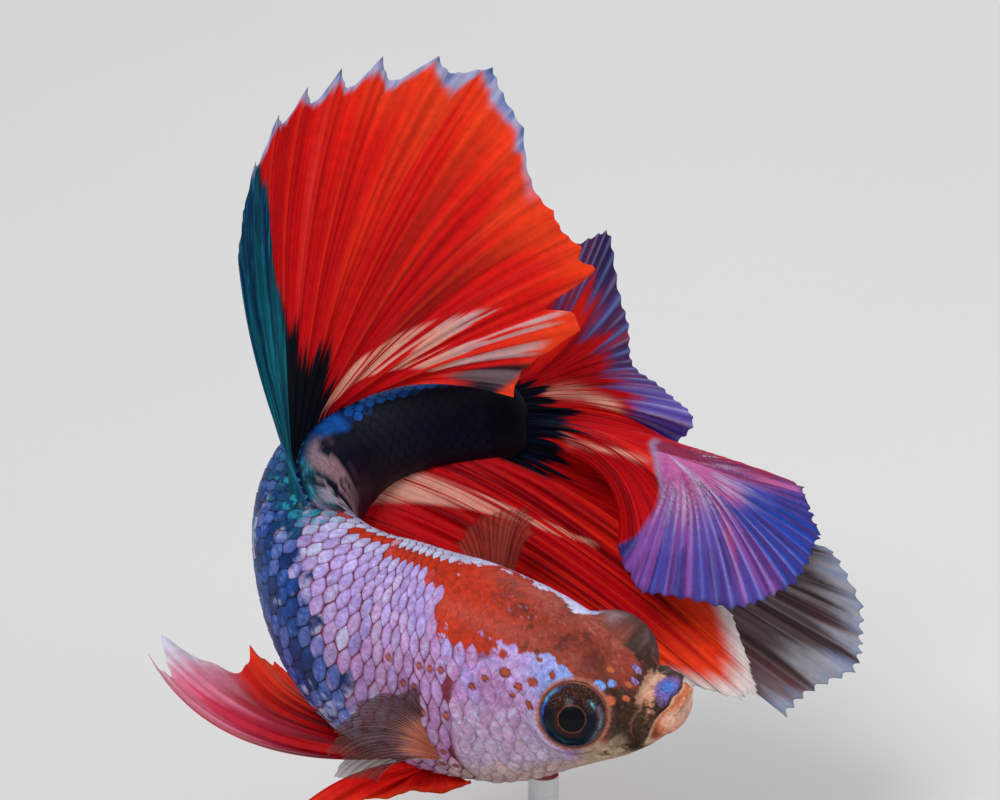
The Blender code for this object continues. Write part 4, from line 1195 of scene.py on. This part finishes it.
def tail_paint(on):
    """Red, with dark upper tips, the blue and pink fan, and a smoky lobe at the back."""
    u, t = on.u, on.t
    fine, mid, broad = on.streak(240), on.streak(64, seed=21), on.streak(16, seed=22)
    cream = ramp(fine + mid, -0.20, 0.15)
    streak = np.interp(t, [0.2, 0.4, 0.6], [0.225, 0.235, 0.28])
    seam = np.interp(t, [0.16, 0.26, 0.36, 0.46, 0.54], [0.64, 0.685, 0.66, 0.59, 0.56])
    paint = lay(
        on.plain(FIN_RED),
        (ramp(fine + mid, 0.02, 0.3) * 0.6, FIN_DEEP),
        (ramp(1.4 * broad - 0.3 * fine, 0.02, 0.2) * 0.8, SCARLET),
        (bell(u, streak, 0.028) * ramp(t, 0.2, 0.06) * ramp(t, 0.66, -0.1) * cream, FIN_CREAM),
        (bell(u, seam, 0.022) * ramp(t, 0.54, -0.06) * cream, FIN_CREAM),
    )

    # Upper tips: navy and violet rays over crimson web
    tips = ramp(u, 0.36, -0.04) * on.from_t(0.74, 0.16, 0.4 * mid)
    lobe = bell(u, 0.285, 0.06) * on.from_t(0.72, 0.22, 0.3 * mid)
    paint = lay(
        paint,
        (tips * 0.9, (0.035, 0.030, 0.13)),
        (tips * smooth((mid + 0.5 * fine) / 0.16) * 0.85, FAN_CRIMSON),
        (tips * on.lines(3, 12) * 0.75, FIN_AZURE),
        (tips * ramp(u, 0.12, -0.04) * on.from_t(0.86, 0.1) * 0.7, FIN_NAVY),
        (tips * on.lines(6, 10) * on.from_t(0.82, 0.2, 0.3 * mid) * 0.5, (0.30, 0.32, 0.60)),
        (1.5 * lobe, FAN_VIOLET),
        (1.2 * lobe * on.lines(4, 8), (0.45, 0.42, 0.70)),
    )

    # The fan: pink and white where it opens, then violet, and strong blue toward its margin
    share, turn, far, inside = fan_of(u, t)
    ripple = far + 3 * drawn_noise(turn / 7, far / 5, 25)
    thin = drawn_noise(turn / 1.4, far / 5, 26) * ramp(far, 1, 4)
    blue = ramp(ripple, 5.0, 3.0) * bell(turn, 36, 23)
    red = bell(turn, 50 + 1.2 * far, 1.8) * bell(far, 6.5, 3.2) + bell(turn, 78, 2.5) * bell(far, 3.0, 2.2)
    rosy = drawn_noise(turn / 2.6, far / 9, 28)
    groove = np.abs(np.cos(math.pi * turn / FAN_RAY))
    clear = ramp(far, 2.0, 2.5)
    crest = (1 - groove) ** 3 * clear
    hue = lay(
        on.plain(FAN_PINK),
        (ramp(ripple, 4.2, 4.0), FAN_VIOLET),
        (1.3 * blue, FAN_BLUE),
        (ramp(ripple, 8.5, 2.0) * ramp(turn, 55, 20) * 0.5, FAN_BLUE),
        (ramp(turn - 12 * thin, 15, -8) * ramp(far, 11.0, -2.5), FAN_CRIMSON),
        (bell(turn, 5, 3) * 0.8, FAN_PINK),
        (bell(turn, 58, 8) * ramp(far, 6.5, -2) * ramp(thin, -0.2, 0.15), FAN_WHITE),
        (red, (0.72, 0.04, 0.06)),
        (ramp(rosy, 0.05, 0.15) * ramp(turn, 30, 12) * 0.55, (0.50, 0.12, 0.50)),
        (ramp(thin, 0.12, 0.1) * ramp(far, 10, -8) * 0.8, FAN_WHITE),
        (ramp(thin, -0.12, -0.1) * 0.7, (0.05, 0.04, 0.22)),
        (groove ** 10 * clear * 0.55, (0.16, 0.02, 0.16)),
        (crest * ramp(far, 9, -6) * 0.8, FAN_WHITE),
        (crest * (0.25 + thin) * ramp(turn, 82, -30), (0.36, 0.30, 0.78)),
        (crest * bell(turn, 62, 20) * 0.5, (0.62, 0.42, 0.78)),
        (on.from_t(0.975, 0.03) * 0.6, (0.06, 0.05, 0.20)),
        (ramp(inside, 0.045, -0.03) * ramp(u, 0.64, -0.05), (0.42, 0.40, 0.64)),
    )
    paint = lay(paint, (share, hue))

    # The back lobe, smoky with pale bits at its margin
    lobe = on.from_u(0.80, 0.04, 0.1 * mid) * on.from_t(0.62, 0.16, 0.3 * mid)
    smoke = lay(
        on.plain(SMOKE),
        (ramp(mid + fine, -0.12, 0.25), SMOKE_PALE),
        (on.lines(6, 3) * 0.35, SMOKE),
        (ramp(on.streak(300, 2.0, 27), 0.05, 0.15) * 0.35, SMOKE_EDGE),
        (ramp(broad, 0.05, -0.2) * on.from_t(0.75, 0.2) * 0.35, (0.30, 0.10, 0.10)),
        (on.from_t(0.94, 0.08, 0.25 * mid) * 0.85, SMOKE_EDGE),
        (on.from_t(0.955, 0.05, 0.2 * fine) * 0.45, (0.25, 0.36, 0.62)),
    )
    paint = lay(paint, (lobe, smoke))

    base = 0.19 + 0.07 * bell(u, 0.45, 0.22) + 0.20 * mid + 0.05 * on.lines(1, 3)
    root = ramp(base, t, 0.05)
    return lay(paint, (root, FIN_BLACK), (root * ramp(fine, 0.02, 0.2) * 0.5, FIN_NAVY))


def anal_paint(on):
    """Red to orange, with a cream band and a pale upper tip."""
    u, t = on.u, on.t
    fine, mid = on.streak(150), on.streak(40, seed=31)
    middle = np.interp(t, [0.03, 0.2, 0.36, 0.44, 0.54], [0.66, 0.71, 0.77, 0.80, 0.88])
    reach = np.interp(t, [0.03, 0.2, 0.36, 0.44, 0.54], [0.10, 0.055, 0.035, 0.03, 0.025])
    band = ramp(np.abs(u - middle) / reach, 1.2, -0.5) * ramp(t, 0.56, -0.05)
    tip = on.from_t(0.93, 0.07, 0.06 * mid) * ramp(u, 0.50, 0.08)
    return lay(
        on.plain(FIN_RED),
        (ramp(fine + mid, 0.02, 0.22) * 0.8, FIN_DEEP),
        (ramp(mid - fine, 0.05, 0.2) * on.from_t(0.45, 0.4) * 0.9, SCARLET),
        (band * ramp(fine + 0.6 * mid, -0.16, 0.15), FIN_CREAM),
        (on.from_t(0.80, 0.22, 0.3 * mid) * (0.9 + fine), FIN_ORANGE),
        (on.lines(1, 40) * on.from_t(0.3, 0.3) * 0.3, FIN_ORANGE),
        (tip, (0.86, 0.76, 0.74)),
    )


def pelvic_left_paint(on):
    """Red to orange, with rosy and pale tips on the long first rays."""
    u, t = on.u, on.t
    fine, mid = on.streak(60), on.streak(18, seed=41)
    rosy = ramp(u, 0.40, -0.08) * on.from_t(0.82, 0.22, 0.4 * mid + 0.3 * fine)
    pale = ramp(u, 0.40, -0.08) * on.from_t(0.91, 0.12, 0.15 * mid + 0.1 * fine)
    return lay(
        on.plain(FIN_RED),
        (on.from_u(0.46, 0.16, 0.2 * mid) * on.from_t(0.3, 0.3), SCARLET),
        (bell(u, 0.55, 0.12) * on.from_t(0.55, 0.3) * 0.8, FIN_ORANGE),
        (ramp(fine + mid, 0.02, 0.15) * bell(t, 0.45, 0.3), FIN_DEEP),
        (ramp(u, 0.36, -0.20) * on.from_t(0.58, 0.4, 0.3 * mid) * 0.8, (0.74, 0.05, 0.13)),
        (rosy * 0.9, (0.84, 0.30, 0.44)),
        (pale, (0.80, 0.76, 0.88)),
        (bell(u, 0.02, 0.02) * on.from_t(0.35, 0.2) * 0.6, (0.84, 0.45, 0.46)),
        (on.from_u(0.95, 0.04) * 0.6, FIN_CREAM),
    )


def pelvic_right_paint(on):
    """Scarlet to orange, with a cream margin."""
    fine, mid = on.streak(60), on.streak(18, seed=51)
    return lay(
        on.plain(SCARLET),
        (ramp(fine + mid, -0.02, 0.18) * 0.7, FIN_RED),
        (on.from_t(0.7, 0.4, 0.3 * mid) * 0.8, FIN_ORANGE),
        (on.from_t(0.93, 0.06), FIN_CREAM),
    )


def pectoral_right_paint(on):
    """A clear brown web between pale rays, orange near the root."""
    fine, mid = on.streak(90), on.streak(24, seed=61)
    return lay(
        on.plain(WEB_BROWN),
        (smooth((fine + mid) / 0.25) * 0.8, SMOKE),
        (on.lines(5, 10) * (0.75 + fine), RAY_PALE),
        (ramp(on.t - 0.2 * mid, 0.34, -0.16), (0.52, 0.14, 0.075)),
        (bell(on.t, 0.24, 0.1) * on.lines(5, 4) * 0.6, ORANGE_PALE),
    )


def pectoral_left_paint(on):
    """A clear red web between darker rays."""
    fine = on.streak(90)
    return lay(
        on.plain(WEB_RED),
        (ramp(fine, -0.1, 0.25) * 0.6, (0.40, 0.09, 0.05)),
        (on.lines(3, 8) * 0.8, (0.07, 0.010, 0.010)),
        (on.from_t(0.92, 0.08) * 0.6, (0.05, 0.012, 0.012)),
    )


# Each fin's paint; its columns of points from ray to ray, and its rows; the height of its pleats in
# millimetres; into how many its rays fork; how deep its margin is cut between rays, and between
# forks, as shares of its length; and how solid its web is
FIN_LOOKS = {
    "dorsal_fin": (dorsal_paint, 26, 110, 0.13, 4, 0.092, 0.007, 1.0),
    "tail_fin": (tail_paint, 44, 110, 0.14, 6, 0.012, 0.010, 1.0),
    "anal_fin": (anal_paint, 24, 80, 0.20, 4, 0.012, 0.008, 1.0),
    "pelvic_fin_left": (pelvic_left_paint, 28, 80, 0.22, 3, 0.10, 0.02, 1.0),
    "pelvic_fin_right": (pelvic_right_paint, 24, 50, 0.20, 3, 0.06, 0.02, 1.0),
    "pectoral_fin_right": (pectoral_right_paint, 40, 60, 0.06, 5, 0.05, 0.012, 0.62),
    "pectoral_fin_left": (pectoral_left_paint, 36, 50, 0.10, 3, 0.04, 0.03, 0.70),
}
# Half the thickness of the web, and what a ray and the root add to it
SHEET, RAY_HALF, ROOT_HALF = 0.045 * MM, 0.075 * MM, 0.25 * MM
FORK_AT, FORK_EASE = 0.22, 0.3  # where the rays start to fork, and over what length
RAY_SHARP, FORK_SHARP = 12, 6  # how narrow the ridges of rays and of their forks are
FORK_PLEAT, FOLD_HEIGHT = 0.05 * MM, 0.16 * MM
THINNING = 0.75  # how much thinner rays get by their tips, and the web by its margin
GLOW = 0.30  # share of the light that passes through a fin
UNEVEN_SEED, RAGGED_SEED = 71, 73


def fin_material(name, solid):
    """Paint laid on the mesh, streaked along the rays, which lets some light through."""
    make = Shader(name)
    phase, along = make.attribute("phase"), make.attribute("along")
    drawn_out = make.node("CombineXYZ", {0: make.times(phase, 9.0), 1: make.times(along, 3.0)})
    streak = make.noise(drawn_out, 1.0, 3, 0.65)
    grain = make.noise(make.place(), 1600, 3, 0.6)
    value = make.add(make.times(streak, 0.75), make.times(grain, 0.45))
    colour = make.shade(make.attribute("paint", "Color"), make.add(value, 0.42))
    make.bump(make.add(streak, make.times(grain, 0.5)), 0.05 * MM, 0.7)
    make.surface(colour=colour, roughness=0.5, specular=0.08)
    if solid < 1:
        ray = make.attribute("ray")
        thin = make.math("POWER", along, 3.0)
        web = make.add(make.times(ray, 1 - solid), solid)
        make.surface(alpha=make.times(web, make.add(make.times(thin, -0.75), 1.0)))
    glow = make.node("BsdfTranslucent", {"Color": colour})
    share = GLOW if solid == 1 else 0.0
    mixed = make.node("MixShader", {0: share, 1: make.principled.outputs[0], 2: glow})
    make.put(make.tree.nodes["Material Output"].inputs[0], mixed)
    return make.material


def margin_length(name, u, phase):
    """How far a fin reaches across its rays: about 1 at their tips, and less between them."""
    forks, notch, cut = FIN_LOOKS[name][4:7]
    uneven = 0.015 * lattice_noise(np.stack([phase * 0.9, 0 * u], -1), UNEVEN_SEED)
    if name == "pectoral_fin_right":
        uneven = uneven + 0.16 * lattice_noise(np.stack([phase * 2.6, 0 * u], -1), RAGGED_SEED)
    if name == "dorsal_fin":
        notch = notch * np.interp(u, [0.0, 0.12, 0.50, 0.60, 0.86, 0.9], [0.3, 1.0, 0.9, 0.25, 0.3, 0.9])
        uneven = uneven + 0.11 * bell(u, 0.888, 0.011) + 0.05 * bell(u, 0.845, 0.010)
    length = 1 - notch * np.abs(np.sin(math.pi * phase)) ** 1.1 - uneven
    return length - cut * np.abs(np.sin(math.pi * forks * phase)) ** 1.2


def sheet_faces(columns, rows):
    """Faces of a sheet whose front and back meet at root and margin, closed at both sides."""
    faces = grid_faces(columns, 2 * rows, wrap=True).tolist()
    for start, way in ((0, 1), ((columns - 1) * 2 * rows, -1)):
        for k in range(rows - 1):
            side = [start + k, start + k + 1, start + 2 * rows - 2 - k, start + 2 * rows - 1 - k]
            faces.append(side[::way])
    return faces


def build_fin(name):
    """A thin closed sheet, thicker along its rays, which fork on their way to a cut margin."""
    rays, where, ray_count = FINS[name]
    paint_fin, per_ray, rows, pleat_height, forks, _, _, solid = FIN_LOOKS[name]
    u = np.linspace(0, 1, (ray_count - 1) * per_ray + 1)[:, None]
    phase = u * (ray_count - 1)
    length = margin_length(name, u, phase)
    share = np.linspace(0, 1, rows)[None, :] ** 0.9
    t = share * length
    points = fin_point(rays, where, u, t)
    normal = np.cross(np.gradient(points, axis=0), np.gradient(points, axis=1))
    normal /= np.linalg.norm(normal, axis=-1, keepdims=True) + 1e-12

    fork = ramp(t, FORK_AT, FORK_EASE)
    ray = (1 - fork) * np.abs(np.cos(math.pi * phase)) ** RAY_SHARP
    ray = ray + fork * np.abs(np.cos(math.pi * forks * phase)) ** FORK_SHARP
    pleat = pleat_height * MM * np.cos(2 * math.pi * phase) * smooth(t / 0.3)
    pleat = pleat + FORK_PLEAT * fork * np.cos(2 * math.pi * forks * phase)
    if name == "tail_fin":
        in_fan, turn, far, _ = fan_of(u + 0 * t, t)
        folds = FOLD_HEIGHT * np.cos(2 * math.pi * turn / FAN_RAY) * ramp(far, 0.8, 2)
        pleat = pleat + in_fan * (folds - 0.75 * pleat)
        ray = ray + in_fan * (np.abs(np.sin(math.pi * turn / FAN_RAY)) ** FORK_SHARP - ray)
    half = SHEET + RAY_HALF * ray * (1 - THINNING * t) + ROOT_HALF * ramp(t, 0.05, -0.05)
    half = half * (1 - THINNING * ramp(share, 0.97, 0.03))
    front = points + normal * (pleat + half)[..., None]
    back = points + normal * (pleat - half)[..., None]
    sheet = np.concatenate([front, back[:, ::-1]], axis=1)

    def both(values):
        return np.concatenate([values, values[:, ::-1]], axis=1)

    u_grid = u + 0 * t
    paint = both(paint_fin(Strokes(u_grid, t / length.max(), share + 0 * t, ray_count)))
    phase, along = phase + 0 * t, t
    if name == "tail_fin":
        phase = np.where(in_fan > 0.5, turn / FAN_RAY, phase)
        along = np.where(in_fan > 0.5, far / FAN_LENGTH, t)
    numbers = {"phase": both(phase), "along": both(along), "ray": both(ray)}
    flat = np.stack([0.49 * u_grid, share + 0 * t], -1)
    uv = np.concatenate([flat, flat[:, ::-1] + (0.5, 0)], axis=1)
    material = fin_material(f"{name}_paint", solid)
    fin = make_piece(f"{name}_rays", sheet, sheet_faces(len(u), rows), material, paint, numbers, uv)
    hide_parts(name)


# --------------------------------------------------------------------------------- stand, studio


def build_stand(nodes):
    """Dresses the frame's own stand: black acrylic for the base, steel for the rod."""
    make = Shader("stand_acrylic")
    grain = make.noise(make.place(), 400, 4)
    make.bump(grain, 0.02 * MM, 0.3)
    black = make.surface(
        colour=make.mix(grain, (0.010, 0.010, 0.011), (0.02, 0.02, 0.021)), roughness=0.25, coat=0.5,
    )
    make = Shader("rod_steel")
    brushed = make.noise(make.place((300, 300, 6000)), 1.0, 3)
    make.bump(brushed, 0.01 * MM, 0.4)
    steel = make.surface(
        colour=make.mix(brushed, (0.45, 0.45, 0.46), (0.62, 0.62, 0.63)), roughness=0.3, metallic=1.0,
    )
    for name, material in (("stand_base", black), ("stand_rod", steel)):
        nodes[name].data.materials.clear()
        nodes[name].data.materials.append(material)
        nodes[name].data.set_sharp_from_angle(angle=math.radians(40))


FLOOR_REACH = 3.0
LIGHTS_TARGET = Vector((0, 0, 0.042))
# Name, place in metres, side of the lamp in metres, and power in watts
LIGHTS = (
    ("key", (-0.20, -0.45, 0.60), 0.30, 3.2),
    ("fill", (0.50, -0.30, 0.30), 0.50, 0.9),
    ("back", (0.10, 0.50, 0.50), 0.40, 1.3),
)


def build_studio():
    """A pale floor, an evenly lit world and three soft lamps."""
    mesh = bpy.data.meshes.new("floor")
    corners = [(x * FLOOR_REACH, y * FLOOR_REACH, 0) for x, y in ((-1, -1), (1, -1), (1, 1), (-1, 1))]
    mesh.from_pydata(corners, [], [(0, 1, 2, 3)])
    floor = bpy.data.objects.new("floor", mesh)
    bpy.context.scene.collection.objects.link(floor)
    make = Shader("floor_paint")
    cloud = make.noise(make.place(), 8, 2)
    mesh.materials.append(make.surface(
        colour=make.mix(cloud, (0.70, 0.695, 0.69), (0.74, 0.735, 0.73)), roughness=0.6,
    ))

    world = bpy.data.worlds.new("studio")
    bpy.context.scene.world = world
    world.use_nodes = True
    background = world.node_tree.nodes["Background"]
    background.inputs["Color"].default_value = (0.95, 0.97, 1.0, 1)
    background.inputs["Strength"].default_value = 0.42

    for name, place, size, power in LIGHTS:
        light = bpy.data.lights.new(name, "AREA")
        light.size = size
        light.energy = power
        obj = bpy.data.objects.new(name, light)
        obj.location = place
        obj.rotation_euler = (LIGHTS_TARGET - Vector(place)).to_track_quat("-Z", "Y").to_euler()
        bpy.context.scene.collection.objects.link(obj)


CAMERA_TARGET = Vector((0, 9.0, 43.4)) * MM
CAMERA_DISTANCE, CAMERA_RISE, CAMERA_LENS = 300 * MM, 20.0, 150.0


def build_camera():
    """Looks a little down on the fish from the photo's side, through a long lens."""
    camera = bpy.data.cameras.new("camera")
    camera.lens = CAMERA_LENS
    camera.sensor_width = 36
    camera.clip_start, camera.clip_end = 0.01, 20
    rise = math.radians(CAMERA_RISE)
    obj = bpy.data.objects.new("camera", camera)
    obj.location = CAMERA_TARGET + Vector((0, -math.cos(rise), math.sin(rise))) * CAMERA_DISTANCE
    obj.rotation_euler = (math.pi / 2 - rise, 0, 0)
    bpy.context.scene.collection.objects.link(obj)
    bpy.context.scene.camera = obj


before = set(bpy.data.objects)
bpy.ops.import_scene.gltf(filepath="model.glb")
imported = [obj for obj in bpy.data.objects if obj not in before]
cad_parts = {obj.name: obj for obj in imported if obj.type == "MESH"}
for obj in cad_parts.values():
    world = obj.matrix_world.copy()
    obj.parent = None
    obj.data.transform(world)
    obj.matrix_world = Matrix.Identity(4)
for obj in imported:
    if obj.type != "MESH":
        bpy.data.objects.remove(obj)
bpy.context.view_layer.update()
bpy.context.scene.view_settings.view_transform = "Standard"
build_camera()
build_studio()
build_skin()
scale_paint = body_material("scale_paint", 0.6)
for coat_name in COATS:
    build_scales(coat_name, scale_paint)
build_eyes()
for fin_name in FINS:
    build_fin(fin_name)
build_stand(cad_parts)
